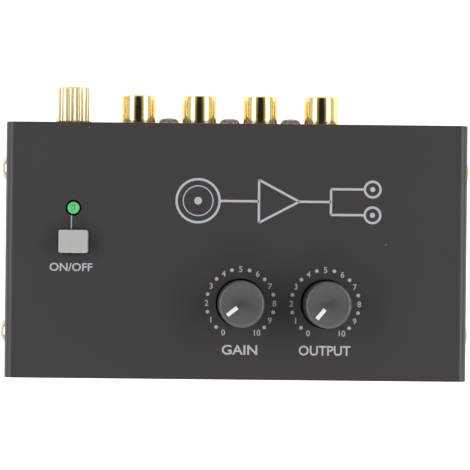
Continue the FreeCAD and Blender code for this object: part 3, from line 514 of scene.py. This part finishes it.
class Finish:
    """A material with its surface shader and the shared effects that feed it."""

    def __init__(self, name, roughness, spread, scale, bump, color=(0.5, 0.5, 0.5), metallic=0.0,
                 fine=4000.0, coarse=900.0, depth=0.02 * MM, rough_spread=0.15):
        self.material = bpy.data.materials.new(name)
        self.material.use_nodes = True
        self.tree = self.material.node_tree
        self.shader = self.tree.nodes["Principled BSDF"]
        self.mottle = use_group(self.tree, mottle_group, {
            "Color": (*color, 1.0), "Scale": scale, "Spread": spread})
        grain = use_group(self.tree, grain_group, {
            "Fine Scale": fine, "Coarse Scale": coarse, "Roughness": roughness,
            "Roughness Spread": rough_spread}).outputs
        self.bump = add_node(self.tree, "Bump", {
            "Strength": bump, "Distance": depth, "Height": grain["Height"]})
        self.set(Metallic=metallic, Base_Color=self.mottle.outputs["Color"], Roughness=grain["Roughness"],
                 Normal=self.bump.outputs["Normal"])

    def set(self, **values):
        """Sets or links the surface shader's own sockets."""
        feed(self.tree, self.shader, {label.replace("_", " "): value for label, value in values.items()})
        return self

    def specks(self, color, scale, size, share):
        """Mixes sparse specks of another colour into the base colour."""
        mask = use_group(self.tree, speck_group, {"Scale": scale, "Size": size, "Share": share})
        mix = add_node(self.tree, "Mix", {
            0: mask.outputs["Mask"], 6: self.mottle.outputs["Color"], 7: (*color, 1.0)}, data_type="RGBA")
        return self.set(Base_Color=mix.outputs[2])

    def shades(self, centre, reach, stops):
        """Colours the base by the distance from an upright axis."""
        span = use_group(self.tree, span_group, {"Centre": tuple(centre), "Reach": reach})
        ramp = add_node(self.tree, "ValToRGB", {"Fac": span.outputs["Share"]})
        points = ramp.color_ramp.elements
        while len(points) < len(stops):
            points.new(0.5)
        for point, (place, colour) in zip(points, stops):
            point.position = place
            point.color = (*colour, 1.0)
        feed(self.tree, self.mottle, {"Color": ramp.outputs["Color"]})
        return self

    def glow(self, strength):
        """Lets the base colour shine a little by itself."""
        return self.set(Emission_Color=self.mottle.outputs["Color"], Emission_Strength=strength)

    def turned(self, centre, pitch, strength, depth):
        """Adds turned rings about an upright axis over the grain."""
        rings = use_group(self.tree, ring_group, {"Centre": tuple(centre), "Pitch": pitch})
        second = add_node(self.tree, "Bump", {
            "Strength": strength, "Distance": depth, "Height": rings.outputs["Height"],
            "Normal": self.bump.outputs["Normal"]})
        return self.set(Normal=second.outputs["Normal"])


FINISHES = {}


def finish(name, **settings):
    """The finish of that name, made the first time it is asked for."""
    if name not in FINISHES:
        FINISHES[name] = Finish(name, **settings)
    return FINISHES[name]


def paint_nodes(look, *names):
    """Puts a material into every slot of some carried-over nodes."""
    for name in names:
        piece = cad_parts[name]
        if not piece.material_slots:
            piece.data.materials.append(look.material)
        for slot in piece.material_slots:
            slot.material = look.material


def plated(name, color, roughness):
    """Plated metal: faint change of tone, faint polishing marks."""
    return finish(name, color=color, roughness=roughness, metallic=1.0, spread=0.10, scale=180.0,
                  fine=2500.0, coarse=500.0, bump=0.05, depth=0.01 * MM, rough_spread=0.12)


def zinc():
    """The plating of the shafts, nuts, legs and small screws."""
    return plated("zinc", (0.60, 0.61, 0.62), 0.35)


def moulded(name, color, roughness, bump=0.12):
    """Moulded plastic with a fine even grain."""
    return finish(name, color=color, roughness=roughness, spread=0.10, scale=140.0, fine=5000.0,
                  coarse=1200.0, bump=bump)


def black_plastic():
    """The moulding of the socket block, the inlet, the light's spacer and the parts on the board."""
    return moulded("black_plastic", (0.018, 0.018, 0.019), 0.5)


def coated(props):
    """Powder coat: fine orange peel with a few tiny light specks."""
    look = finish("powder_coat", color=props.paint, roughness=0.42, spread=0.16, scale=45.0, fine=3600.0,
                  coarse=1300.0, bump=0.22, depth=0.03 * MM, rough_spread=0.12)
    return look.specks((0.30, 0.29, 0.28), scale=260.0, size=0.035, share=0.10)


class PREAMP_OT_case(bpy.types.Operator):
    """Fold the cover from one sheet, cut its holes and coat it together with the tray"""

    bl_idname = "preamp.case"
    bl_label = "Case"

    def execute(self, context):
        props = context.scene.preamp_case
        look = coated(props)
        sheet = cut_out(self.folded(props), self.cutters(props))
        finished("cover_shell", softened(sheet, props.edge), look, node="top_cover")
        paint_nodes(look, "base_tray")
        return {"FINISHED"}

    def folded(self, props):
        """The cover's outer face bent twice, then given its thickness inwards."""
        work = bmesh.new()
        low, high = COVER_LOW, COVER_HIGH
        corners = [(low.x, low.z), (low.x, high.z), (high.x, high.z), (high.x, low.z)]
        verts = [work.verts.new((across, low.y, up)) for across, up in corners]
        edges = [work.edges.new(pair) for pair in zip(verts, verts[1:])]
        grown = bmesh.ops.extrude_edge_only(work, edges=edges)
        bmesh.ops.translate(work, verts=only(bmesh.types.BMVert, grown), vec=(0, high.y - low.y, 0))
        bends = [edge for edge in work.edges if abs(edge.verts[0].co.y - edge.verts[1].co.y) > MM
                 and all(abs(vert.co.z - high.z) < SAME_HEIGHT for vert in edge.verts)]
        bevel_edges(work, bends, props.bend, segments=12)
        mesh = mesh_of(work)
        top = max(mesh.polygons, key=lambda face: face.center.z)
        outward = 1.0 if top.normal.z > 0 else -1.0
        return settle(mesh, [("SOLIDIFY", {"thickness": props.sheet, "offset": -outward})])

    def cutters(self, props):
        """Meshes for the holes of the dials, light, button and side screws."""
        sheets_deep = 6
        reach = props.sheet * sheets_deep
        start = COVER_TOP - reach / 2
        rounds = [(at_height(node_middle(name), start), radius, "Z") for name, radius in (
            ("level_knob", DIAL_HOLE), ("volume_knob", DIAL_HOLE), ("power_light", LIGHT_HOLE))]
        rounds += [(Vector((spot.x - reach / 2, spot.y, spot.z)), SCREW_HOLE, "X")
                   for spot in screw_places()]
        found = []
        for spot, radius, axis in rounds:
            work = lathe([(0, 0), (radius, 0), (radius, reach), (0, reach)])
            found.append(mesh_of(placed(work, spot, axis)))
        block = rounded_block((*SLOT_SIZE, reach), (SLOT_CORNER, 6), (0.01 * MM, 1))
        found.append(mesh_of(placed(block, at_height(node_middle("power_button_cap"), start))))
        return found


def screw_places():
    """The side screws' places on the two sides of the case."""
    low, high = node_box("cover_screws")
    return [Vector((across, back, (low.z + high.z) / 2))
            for across in (COVER_LOW.x, COVER_HIGH.x) for back in (low.y + SIDE_HEAD, high.y - SIDE_HEAD)]


def pan_head(radius, height, shank, length, recess):
    """One pan-head screw along Z with a tapered cross recess, its seat at zero."""
    shoulder, brow, brow_radius = height * 0.42, height * 0.86, radius * 0.80
    work = lathe([
        (0, -length), (shank, -length), (shank, 0), (radius, 0), (radius, shoulder), (brow_radius, brow),
        (0, height),
    ], rounds=[(5, radius * 0.20, 5), (4, radius * 0.14, 5)])
    body = mesh_of(work, 30.0)
    slot, floor_length, floor_width, lift = recess * 0.42, 0.45, 0.6, height * 1.02
    arms = []
    for spin in (0.0, math.radians(90)):
        arm = bmesh.new()
        bmesh.ops.create_cube(arm, size=1.0)
        bmesh.ops.scale(arm, verts=arm.verts, vec=(recess * 2, slot, height))
        floor = [vert for vert in arm.verts if vert.co.z < 0]
        bmesh.ops.scale(arm, verts=floor, vec=(floor_length, floor_width, 1.0))
        arms.append(mesh_of(placed(arm, (0, 0, lift), "Z", spin)))
    return softened(cut_out(body, arms), radius * 0.02, 40.0)


class PREAMP_OT_screws(bpy.types.Operator):
    """Model the pan-head screws of the sides and of the back"""

    bl_idname = "preamp.screws"
    bl_label = "Screws"

    def execute(self, context):
        metals = context.scene.preamp_metals
        self.side_screws(plated("nickel", metals.nickel, 0.24))
        # The socket screws' plating is painted darker, as a painted reflection of dark surroundings
        self.back_screws(plated("nickel_painted_dark", metals.nickel_painted_dark, 0.22))
        return {"FINISHED"}

    def side_screws(self, look):
        """Two screws in each side of the case."""
        single = pan_head(SIDE_HEAD, height=2.1 * MM, shank=1.45 * MM, length=5.0 * MM, recess=1.6 * MM)
        whole = []
        for number, spot in enumerate(screw_places()):
            work = read_back(single)
            if spot.x < 0:
                turn_about(work, math.pi, "X")
            whole.append(placed(work, spot, "X", GOLDEN_ANGLE * number))
        finished("side_screws", mesh_of(gathered(whole), 30.0), look, node="cover_screws")

    def back_screws(self, look):
        """Three screws between the phono sockets."""
        single = pan_head(BACK_HEAD, height=2.5 * MM, shank=1.2 * MM, length=6.0 * MM, recess=1.4 * MM)
        low, high = node_box("socket_screws")
        proud = 2.1 * MM
        spots = row(low, high, BACK_HEAD, 3, high.y - proud)
        whole = copies(single, spots, "Y", GOLDEN_ANGLE * 1.7)
        finished("back_screws", mesh_of(whole, 30.0), look, node="socket_screws")


class PREAMP_OT_feet(bpy.types.Operator):
    """Model the four rubber feet"""

    bl_idname = "preamp.feet"
    bl_label = "Feet"

    def execute(self, context):
        low, high = node_box("rubber_feet")
        radius, taper, height = 4.5 * MM, 0.6 * MM, high.z - low.z
        groove = [radius * share for share in (0.55, 0.62, 0.70, 0.78)]
        depth = height * 0.10
        foot = mesh_of(lathe([
            (0, 0), (groove[0], 0), (groove[1], depth), (groove[2], depth), (groove[3], 0),
            (radius - taper, 0), (radius, height), (0, height),
        ], rounds=[(5, 0.35 * MM, 4), (4, 0.15 * MM, 2), (1, 0.15 * MM, 2)]))
        spots = [Vector((across, back, low.z)) for across in (low.x + radius, high.x - radius)
                 for back in (low.y + radius, high.y - radius)]
        look = finish("foot_rubber", color=context.scene.preamp_case.rubber, roughness=0.8, spread=0.3,
                      scale=300.0, fine=3000.0, bump=0.35, depth=0.05 * MM)
        finished("feet", mesh_of(copies(foot, spots)), look, node="rubber_feet")
        return {"FINISHED"}


class PREAMP_OT_dials(bpy.types.Operator):
    """Model the two knobs with their pointer inlays"""

    bl_idname = "preamp.dials"
    bl_label = "Dials"

    def execute(self, context):
        props = context.scene.preamp_dials
        for name in DIALS:
            self.knob(props, name)
            self.pointer(props, name)
            paint_nodes(zinc(), name + "_shaft")
        return {"FINISHED"}

    def knob(self, props, name):
        """A lathed knob with a rounded rim, a hollow top and a bore for its shaft."""
        low, high = node_box(name + "_knob")
        middle = (low + high) / 2
        radius, bore, cap, height = 5.4 * MM, 3.05 * MM, 3.6 * MM, high.z - low.z
        bore_end = height - cap
        chamfer_in, chamfer_up = 0.2 * MM, 0.3 * MM
        work = lathe([
            (0, bore_end), (bore, bore_end), (bore, 0), (radius - chamfer_in, 0), (radius, chamfer_up),
            (radius, height), (props.rim, height), (0, height - props.dish),
        ], rounds=[(5, props.edge, 10), (6, 0.3 * MM, 5)], steps=FINE_CIRCLE_STEPS)
        placed(work, at_height(middle, low.z))
        look = finish(name + "_knob_plastic", roughness=0.34, spread=0.30, scale=900.0, fine=2700.0,
                      coarse=1200.0, bump=0.30)
        # The knob's base colour carries painted shade in its middle and at its rim, and a painted sheen
        # ring between them
        look.shades(middle, radius, [
            (place, [share * shade for shade in props.plastic]) for place, share in KNOB_PAINTED_SHEEN_AND_SHADE])
        look.turned(middle, pitch=0.03 * MM, strength=0.6, depth=0.012 * MM)
        tangent = add_node(look.tree, "Tangent", direction_type="RADIAL", axis="Z")
        look.set(Anisotropic=0.85, Specular_IOR_Level=0.7, Tangent=tangent.outputs[0])
        finished(name + "_knob_skin", mesh_of(work), look, name + "_dial", name + "_knob")

    def pointer(self, props, name):
        """A slim inlay laid in the hollow of the knob's top, along the node's own line."""
        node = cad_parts[name + "_pointer"]
        middle = node_middle(name + "_knob")
        top = node_box(name + "_knob")[1].z
        points = [node.matrix_world @ vert.co for vert in node.data.vertices]
        centre = sum(points, Vector((0, 0, 0))) / len(points)
        angle = math.atan2(centre.y - middle.y, centre.x - middle.x) - math.radians(90)
        inner, outer, width, depth, sunk = 1.3 * MM, 4.2 * MM, 0.9 * MM, 0.5 * MM, 0.44 * MM
        work = rounded_block((width, outer - inner, depth), (0.12 * MM, 3), (0.05 * MM, 2))
        bmesh.ops.translate(work, verts=work.verts, vec=(0, (inner + outer) / 2, -sunk))
        turn_about(work, math.atan2(props.dish, props.rim), "X")
        placed(work, at_height(middle, top - props.dish), "Z", angle)
        look = finish("pointer_white", color=props.pointer, roughness=0.42, spread=0.05, scale=300.0,
                      bump=0.08)
        finished(name + "_pointer_inlay", mesh_of(work), look, name + "_dial",
                 name + "_pointer")


def flat_ring(inner, outer, thickness, steps):
    """A printed ring, or a disc where there is no inner radius."""
    corners = [(inner, 0), (outer, 0), (outer, thickness), (inner, thickness)]
    return lathe(corners, steps=steps, closed=inner > 0)


def flat_bar(start, end, width, thickness):
    """A printed bar from one place to another on the XY plane."""
    first, second = Vector((*start, 0)), Vector((*end, 0))
    along = second - first
    work = rounded_block((along.length, width, thickness), (width * 0.2, 3), (thickness * 0.3, 1))
    return placed(work, (first + second) / 2, "Z", math.atan2(along.y, along.x))


def printed_words(words, thickness, height, width=None, weight=0.016):
    """Words in the plain built-in font as a thin solid, centred on the origin."""
    curve = bpy.data.curves.new("words", "FONT")
    curve.body = words
    curve.align_x = "CENTER"
    curve.offset = weight
    curve.resolution_u = 4
    holder = shown("words", curve)
    bpy.context.view_layer.update()
    mesh = bpy.data.meshes.new_from_object(holder.evaluated_get(bpy.context.evaluated_depsgraph_get()))
    bpy.data.objects.remove(holder)
    work = read_back(mesh)
    left, front = [min(vert.co[axis] for vert in work.verts) for axis in range(2)]
    right, back = [max(vert.co[axis] for vert in work.verts) for axis in range(2)]
    bmesh.ops.translate(work, verts=work.verts, vec=(-(left + right) / 2, -(front + back) / 2, 0))
    tall = height / (back - front)
    wide = width / (right - left) if width else tall
    bmesh.ops.scale(work, verts=work.verts, vec=(wide, tall, 1))
    bmesh.ops.remove_doubles(work, verts=work.verts, dist=SAME_PLACE)
    grown = bmesh.ops.extrude_face_region(work, geom=list(work.faces))
    bmesh.ops.translate(work, verts=only(bmesh.types.BMVert, grown), vec=(0, 0, thickness))
    return work


class PREAMP_OT_print(bpy.types.Operator):
    """Print the dial scales, plain labels and a signal path on the cover"""

    bl_idname = "preamp.print"
    bl_label = "Print"

    def execute(self, context):
        props = context.scene.preamp_print
        prints = [(name + "_scale", self.dial_scale(context.scene.preamp_dials, props, name))
                  for name in DIALS]
        for name, words, right, back, height, width in LABELS:
            work = printed_words(words, props.thickness, height * MM, width * MM)
            prints.append((name, placed(work, on_cover(right, back))))
        half, hairline = 1.6 * MM, 0.26 * MM
        line = flat_bar((0, -half), (0, half), hairline, props.thickness)
        prints.append(("light_line", placed(line, on_cover(SWITCH_RIGHT, 6.5))))
        prints.append(("signal_path", self.signal_path(props)))
        look = finish("screen_print", color=props.ink, roughness=0.55, spread=0.10, scale=500.0,
                      fine=5000.0, bump=0.15)
        for name, work in prints:
            finished(name, mesh_of(work), look)
        return {"FINISHED"}

    def dial_scale(self, dials, props, name):
        """Numbers 0 to 10 with a dot between each two, round a knob."""
        middle = node_middle(name + "_knob")
        marks = []
        for half in range(SCALE_MARKS):
            angle = math.radians(SCALE_START + SCALE_STEP * half)
            spot = Vector((middle.x + dials.scale_radius * math.sin(angle),
                           middle.y + dials.scale_radius * math.cos(angle), COVER_TOP))
            if half % 2:
                mark = flat_ring(0, dials.dot_radius, props.thickness, steps=24)
            else:
                mark = printed_words(str(half // 2), props.thickness, dials.number_height, weight=0.010)
            marks.append(placed(mark, spot))
        return gathered(marks)

    def signal_path(self, props):
        """A plain drawing from record to amplifier to two outputs, in millimetres on the cover."""
        disc, disc_edge, start, tip, fork, stop, outlet = -9.0, -3.7, 5.2, 14.6, 22.0, 29.6, 31.7
        middle, rise, spread = 11.8, 5.0, 3.0
        upper, lower = middle + spread, middle - spread
        drawn = self.circles(props, (disc, middle), ((4.75, 5.3), (3.35, 3.6), (0, 0.9)), CIRCLE_STEPS)
        lines = [((disc_edge, middle), (start, middle)), ((start, middle - rise), (start, middle + rise)),
                 ((start, middle + rise), (tip, middle)), ((start, middle - rise), (tip, middle)),
                 ((tip, middle), (fork, middle)), ((fork, lower), (fork, upper)),
                 ((fork, upper), (stop, upper)), ((fork, lower), (stop, lower))]
        for first, last in lines:
            bar = flat_bar([value * MM for value in first], [value * MM for value in last], props.line,
                           props.thickness)
            drawn.append(placed(bar, on_cover(0.0, 0.0)))
        for back in (upper, lower):
            drawn += self.circles(props, (outlet, back), ((1.55, 2.1), (0, 0.6)),
                                  SMALL_CIRCLE_STEPS)
        return gathered(drawn)

    def circles(self, props, spot, radii, steps):
        """Printed rings and discs about one place, each from an inner to an outer radius."""
        return [placed(flat_ring(inner * MM, outer * MM, props.thickness, steps), on_cover(*spot))
                for inner, outer in radii]


class PREAMP_OT_button(bpy.types.Operator):
    """Model the power button's cap"""

    bl_idname = "preamp.button"
    bl_label = "Power button"

    def execute(self, context):
        low, high = node_box("power_button_cap")
        wide, deep, flange_height, corner = 6.8 * MM, 5.4 * MM, 1.2 * MM, 0.45 * MM
        flange = rounded_block((high.x - low.x, high.y - low.y, flange_height), (corner, 4), (0.1 * MM, 2))
        cap = rounded_block((wide, deep, high.z - low.z), (corner, 6), (0.3 * MM, 5))
        whole = combined(mesh_of(cap), mesh_of(flange), "UNION")
        whole = cut_out(whole, [self.pocket()])
        whole.transform(Matrix.Translation(at_height((low + high) / 2, low.z)))
        look = moulded("button_plastic", context.scene.preamp_metals.button, 0.38, 0.10)
        finished("power_button_skin", whole, look, "power_button", "power_button_cap")
        paint_nodes(moulded("white_plastic", (0.78, 0.78, 0.75), 0.4), "power_switch_plunger")
        paint_nodes(plated("spring_wire", (0.60, 0.60, 0.60), 0.25), "power_switch_spring")
        return {"FINISHED"}

    def pocket(self):
        """The room in the cap's underside that the return spring stands in."""
        low, high = node_box("power_switch_spring")
        clearance, depth = 0.1 * MM, 2.1 * MM
        radius = (high.x - low.x) / 2 + clearance
        return mesh_of(lathe([(0, -MM), (radius, -MM), (radius, depth), (0, depth)], steps=48))


class PREAMP_OT_light(bpy.types.Operator):
    """Model the power light's lens"""

    bl_idname = "preamp.light"
    bl_label = "Power light"

    def execute(self, context):
        low, high = node_box("power_light")
        middle = (low + high) / 2
        barrel, flange, seat, top = 1.5 * MM, 1.75 * MM, 1.0 * MM, high.z - low.z
        dome = barrel * 0.97
        work = lathe([
            (0, 0), (flange, 0), (flange, seat), (barrel, seat), (barrel, top), (0, top),
        ], rounds=[(4, dome, 16), (2, 0.15 * MM, 3)], steps=SMALL_CIRCLE_STEPS)
        placed(work, at_height(middle, low.z))
        look = finish("light_lens", roughness=0.18, spread=0.10, scale=300.0, bump=0.03)
        # The lens's colour carries a painted highlight, a painted light ring and painted shade at its rim
        # and flange, and glows with them
        look.set(Coat_Weight=0.4).glow(0.18).shades(middle, barrel, LENS_PAINTED_LIGHT_AND_SHADE)
        finished("power_light_lens", mesh_of(work), look, node="power_light")
        paint_nodes(black_plastic(), "power_light_spacer")
        paint_nodes(zinc(), "power_light_legs")
        return {"FINISHED"}


class PREAMP_OT_sockets(bpy.types.Operator):
    """Model the phono sockets: gold shells, coloured insulators and centre contacts"""

    bl_idname = "preamp.sockets"
    bl_label = "Phono sockets"

    def execute(self, context):
        gold = plated("gold_plate", context.scene.preamp_metals.gold, 0.13)
        wall = node_box("base_tray")[1].y
        for name in SHELLS:
            self.shell(name, wall, gold)
        self.insulators("left_channel_insulators", "white_plastic", (0.80, 0.80, 0.77))
        self.insulators("right_channel_insulators", "red_plastic", (0.55, 0.02, 0.02))
        self.contacts(gold)
        paint_nodes(black_plastic(), "phono_socket_block")
        return {"FINISHED"}

    def shell(self, name, wall, gold):
        """A tube with a rounded mouth and a narrow neck through the wall."""
        low, high = node_box(name + "_shell")
        outer, inner, neck = 4.15 * MM, 3.65 * MM, 3.8 * MM
        shoulder, length = wall - low.y, high.y - low.y
        work = lathe([
            (inner, 0), (neck, 0), (neck, shoulder), (outer, shoulder), (outer, length), (inner, length),
        ], rounds=[(4, 0.42 * MM, 6), (3, 0.2 * MM, 3)], steps=FINE_CIRCLE_STEPS, closed=True)
        middle = (low + high) / 2
        placed(work, Vector((middle.x, low.y, middle.z)), "Y")
        finished(name + "_tube", mesh_of(work), gold, node=name + "_shell")

    def insulators(self, name, slot, colour):
        """The coloured plastic inside two shells, with a stepped mouth."""
        low, high = node_box(name)
        outer, inner, length = 3.6 * MM, 2.05 * MM, high.y - low.y
        mouth, throat, step = 2.9 * MM, 2.7 * MM, length - 0.5 * MM
        single = mesh_of(lathe([
            (inner, 0), (outer, 0), (outer, length), (mouth, length), (throat, step), (inner, step),
        ], rounds=[(2, 0.12 * MM, 3)], closed=True))
        whole = copies(single, row(low, high, outer, 2, low.y), "Y")
        look = moulded(name + "_plastic", colour, 0.32)
        finished(name + "_moulding", mesh_of(whole), look, node=name)

    def contacts(self, gold):
        """Four tubes for the plugs' pins."""
        low, high = node_box("phono_centre_contacts")
        outer, inner, length = 2.0 * MM, 1.65 * MM, high.y - low.y
        single = mesh_of(lathe([
            (inner, 0), (outer, 0), (outer, length), (inner, length),
        ], rounds=[(2, 0.12 * MM, 3)], steps=SMALL_CIRCLE_STEPS, closed=True))
        whole = copies(single, row(low, high, outer, len(SHELLS), low.y), "Y")
        finished("centre_contact_tubes", mesh_of(whole), gold, node="phono_centre_contacts")


class PREAMP_OT_ground_post(bpy.types.Operator):
    """Model the knurled thumb nut of the ground post and finish its stud and washer"""

    bl_idname = "preamp.ground_post"
    bl_label = "Ground post"

    def execute(self, context):
        pale = plated("pale_gold_plate", context.scene.preamp_metals.pale_gold, 0.34)
        low, high = node_box("ground_thumb_nut")
        middle = (low + high) / 2
        work = placed(self.knurled(high.y - low.y), Vector((middle.x, low.y, middle.z)), "Y")
        finished("ground_nut_knurled", mesh_of(work, 25.0), pale, "ground_nut",
                 "ground_thumb_nut")
        paint_nodes(pale, "ground_washer", "ground_stud")
        paint_nodes(zinc(), "ground_lock_nut", "ground_lug")
        paint_nodes(moulded("wire_green", (0.03, 0.24, 0.07), 0.4), "ground_wire")
        return {"FINISHED"}

    def knurled(self, length):
        """A fluted ring raised in steps, with bevelled ends and a bore."""
        flutes, radius, bore, crown = 30, 4.22 * MM, 2.0 * MM, 0.79
        flute_shares = (0.925, 0.985, 1.0, 0.985)
        foot, foot_rise = 0.90, 0.45 * MM
        bevels = [(0.93, 0.42 * MM), (0.86, 0.23 * MM)]
        straight = length - foot_rise - sum(rise for _, rise in bevels)
        work = bmesh.new()
        made = bmesh.ops.create_circle(work, segments=flutes * len(flute_shares), radius=radius)
        for number, vert in enumerate(made["verts"]):
            vert.co *= flute_shares[number % len(flute_shares)]
        bmesh.ops.scale(work, verts=work.verts, vec=(foot, foot, 1.0))
        self.raised(work, [(1.0 / foot, foot_rise), (1.0, straight), *bevels,
                           (bore / (radius * crown), 0.0), (1.0, -length)])
        return work

    def raised(self, work, steps):
        """Extrudes a ring of edges through (scale, rise) steps."""
        edges = list(work.edges)
        for scale, rise in steps:
            grown = bmesh.ops.extrude_edge_only(work, edges=edges)
            verts = only(bmesh.types.BMVert, grown)
            bmesh.ops.scale(work, verts=verts, vec=(scale, scale, 1.0))
            bmesh.ops.translate(work, verts=verts, vec=(0, 0, rise))
            edges = only(bmesh.types.BMEdge, grown)


class PREAMP_OT_inside(bpy.types.Operator):
    """Finish the power inlet and the pieces inside the case"""

    bl_idname = "preamp.inside"
    bl_label = "Inside"

    def execute(self, context):
        paint_nodes(black_plastic(), "power_inlet_housing", "power_switch_body", "amplifier_chips",
                    "voltage_regulator")
        paint_nodes(zinc(), "power_inlet_pin", "board_screws")
        paint_nodes(plated("brass", (0.68, 0.55, 0.30), 0.3), "board_standoffs")
        for dial in DIALS:
            paint_nodes(plated("tin_plate", (0.58, 0.58, 0.57), 0.42), dial + "_pot_lower_gang",
                        dial + "_pot_upper_gang", dial + "_pot_bushing")
            paint_nodes(moulded("wafer_brown", (0.24, 0.13, 0.06), 0.6), dial + "_pot_wafer")
        mask = finish("solder_mask", color=(0.02, 0.11, 0.045), roughness=0.35, spread=0.2, scale=90.0,
                      bump=0.1)
        paint_nodes(mask, "circuit_board")
        paint_nodes(moulded("capacitor_sleeve", (0.03, 0.03, 0.05), 0.3), "electrolytic_capacitors")
        paint_nodes(moulded("film_red", (0.40, 0.04, 0.02), 0.35), "film_capacitors")
        paint_nodes(moulded("resistor_blue", (0.10, 0.26, 0.38), 0.35), "resistors")
        return {"FINISHED"}


class PREAMP_OT_stage(bpy.types.Operator):
    """Lay the floor, hang the lamps and set the camera over the cover"""

    bl_idname = "preamp.stage"
    bl_label = "Stage"

    def execute(self, context):
        props = context.scene.preamp_stage
        context.scene.view_settings.view_transform = "Standard"
        self.floor(props)
        self.world(context.scene)
        self.lamps()
        self.camera(context.scene, props)
        return {"FINISHED"}

    def floor(self, props):
        """A wide pale floor, just under the feet, that shows nearly white and keeps shadows."""
        half_width, gap, whiteness = 4.0, 0.05 * MM, 0.90
        work = bmesh.new()
        bmesh.ops.create_grid(work, x_segments=2, y_segments=2, size=half_width)
        bmesh.ops.translate(work, verts=work.verts, vec=(0, 0, -gap))
        floor = shown("floor", written(work))
        material = bpy.data.materials.new("floor_pale")
        material.use_nodes = True
        tree = material.node_tree
        shader = tree.nodes["Principled BSDF"]
        feed(tree, shader, {"Base Color": (*props.floor, 1.0), "Roughness": 0.9, "Specular IOR Level": 0.0})
        rays = add_node(tree, "LightPath").outputs
        mirrored = calculate(tree, "MAXIMUM", rays["Is Glossy Ray"], rays["Is Transmission Ray"])
        seen = calculate(tree, "MAXIMUM", rays["Is Camera Ray"], mirrored)
        glow = add_node(tree, "Emission", {
            "Color": (1, 1, 1, 1), "Strength": calculate(tree, "MULTIPLY", seen, whiteness)})
        both = add_node(tree, "AddShader", {0: shader.outputs[0], 1: glow.outputs[0]})
        feed(tree, tree.nodes["Material Output"], {"Surface": both.outputs[0]})
        floor.data.materials.append(material)

    def world(self, scene):
        """A white surround that metal mirrors as bright sides under a dark ceiling."""
        white, lighting = 1.0, 0.28
        world = bpy.data.worlds.new("studio")
        scene.world = world
        world.use_nodes = True
        tree = world.node_tree
        height = add_node(tree, "SeparateXYZ", {0: add_node(tree, "TexCoord").outputs["Generated"]})
        ceiling = add_node(tree, "MapRange", {
            "Value": height.outputs["Z"], "From Min": 0.80, "From Max": 0.96, "To Min": 0.85,
            "To Max": 0.02})
        rays = add_node(tree, "LightPath").outputs
        clear = calculate(tree, "MAXIMUM", rays["Is Camera Ray"], rays["Is Transmission Ray"])
        mirrored = blended(tree, rays["Is Glossy Ray"], lighting, ceiling.outputs["Result"])
        feed(tree, tree.nodes["Background"], {
            "Strength": blended(tree, clear, mirrored, white), "Color": (1, 1, 1, 1)})

    def lamps(self):
        """Two long soft boxes left and right, and a wide dim one in front."""
        for name, spot, size, power in LAMPS:
            data = bpy.data.lights.new(name, "AREA")
            data.shape = "RECTANGLE"
            data.size, data.size_y = size
            data.energy = power
            lamp = shown(name, data)
            lamp.location = spot
            lamp.rotation_euler = (-Vector(spot)).to_track_quat("-Z", "Y").to_euler()

    def camera(self, scene, props):
        """A camera that looks straight down, with the photograph's frame set by its shift."""
        data = bpy.data.cameras.new("camera")
        data.sensor_width = SENSOR_WIDTH
        pixel = 1.0 / PIXELS_PER_MM * MM
        data.lens = SENSOR_WIDTH * props.distance / (PHOTO_WIDTH * pixel)
        data.shift_x = (PHOTO_WIDTH / 2 - BELOW_CAMERA[0]) / PHOTO_WIDTH
        data.shift_y = (BELOW_CAMERA[1] - PHOTO_WIDTH / 2) / PHOTO_WIDTH
        data.clip_start = 0.01
        scene.camera = shown("camera", data)
        scene.camera.location = on_cover(*CAMERA_OVER, props.distance)
        scene.camera.rotation_euler = (0.0, 0.0, props.turn)


PROPERTIES = {
    "preamp_case": PreampCase, "preamp_dials": PreampDials, "preamp_print": PreampPrint,
    "preamp_metals": PreampMetals, "preamp_stage": PreampStage,
}
OPERATORS = (
    PREAMP_OT_case, PREAMP_OT_screws, PREAMP_OT_feet, PREAMP_OT_dials, PREAMP_OT_print, PREAMP_OT_button,
    PREAMP_OT_light, PREAMP_OT_sockets, PREAMP_OT_ground_post, PREAMP_OT_inside, PREAMP_OT_stage,
)


class PREAMP_PT_panel(bpy.types.Panel):
    """Lists the preamp's pieces, sizes and colours"""

    bl_idname = "PREAMP_PT_panel"
    bl_label = "Preamp"
    bl_space_type = "VIEW_3D"
    bl_region_type = "UI"
    bl_category = "Preamp"

    def draw(self, context):
        for operator in OPERATORS:
            self.layout.operator(operator.bl_idname)
        for name, group in PROPERTIES.items():
            box = self.layout.box()
            for setting in group.__annotations__:
                box.prop(getattr(context.scene, name), setting)


def register():
    """Adds the settings, the operators and the panel."""
    for name, group in PROPERTIES.items():
        bpy.utils.register_class(group)
        setattr(bpy.types.Scene, name, bpy.props.PointerProperty(type=group))
    for operator in OPERATORS:
        bpy.utils.register_class(operator)
    bpy.utils.register_class(PREAMP_PT_panel)


def unregister():
    """Takes the panel, the operators and the settings away."""
    bpy.utils.unregister_class(PREAMP_PT_panel)
    for operator in reversed(OPERATORS):
        bpy.utils.unregister_class(operator)
    for name, group in PROPERTIES.items():
        delattr(bpy.types.Scene, name)
        bpy.utils.unregister_class(group)


def main():
    """Makes and finishes every piece."""
    register()
    for operator in OPERATORS:
        family, action = operator.bl_idname.split(".")
        getattr(getattr(bpy.ops, family), action)()


if __name__ == "__main__":
    main()
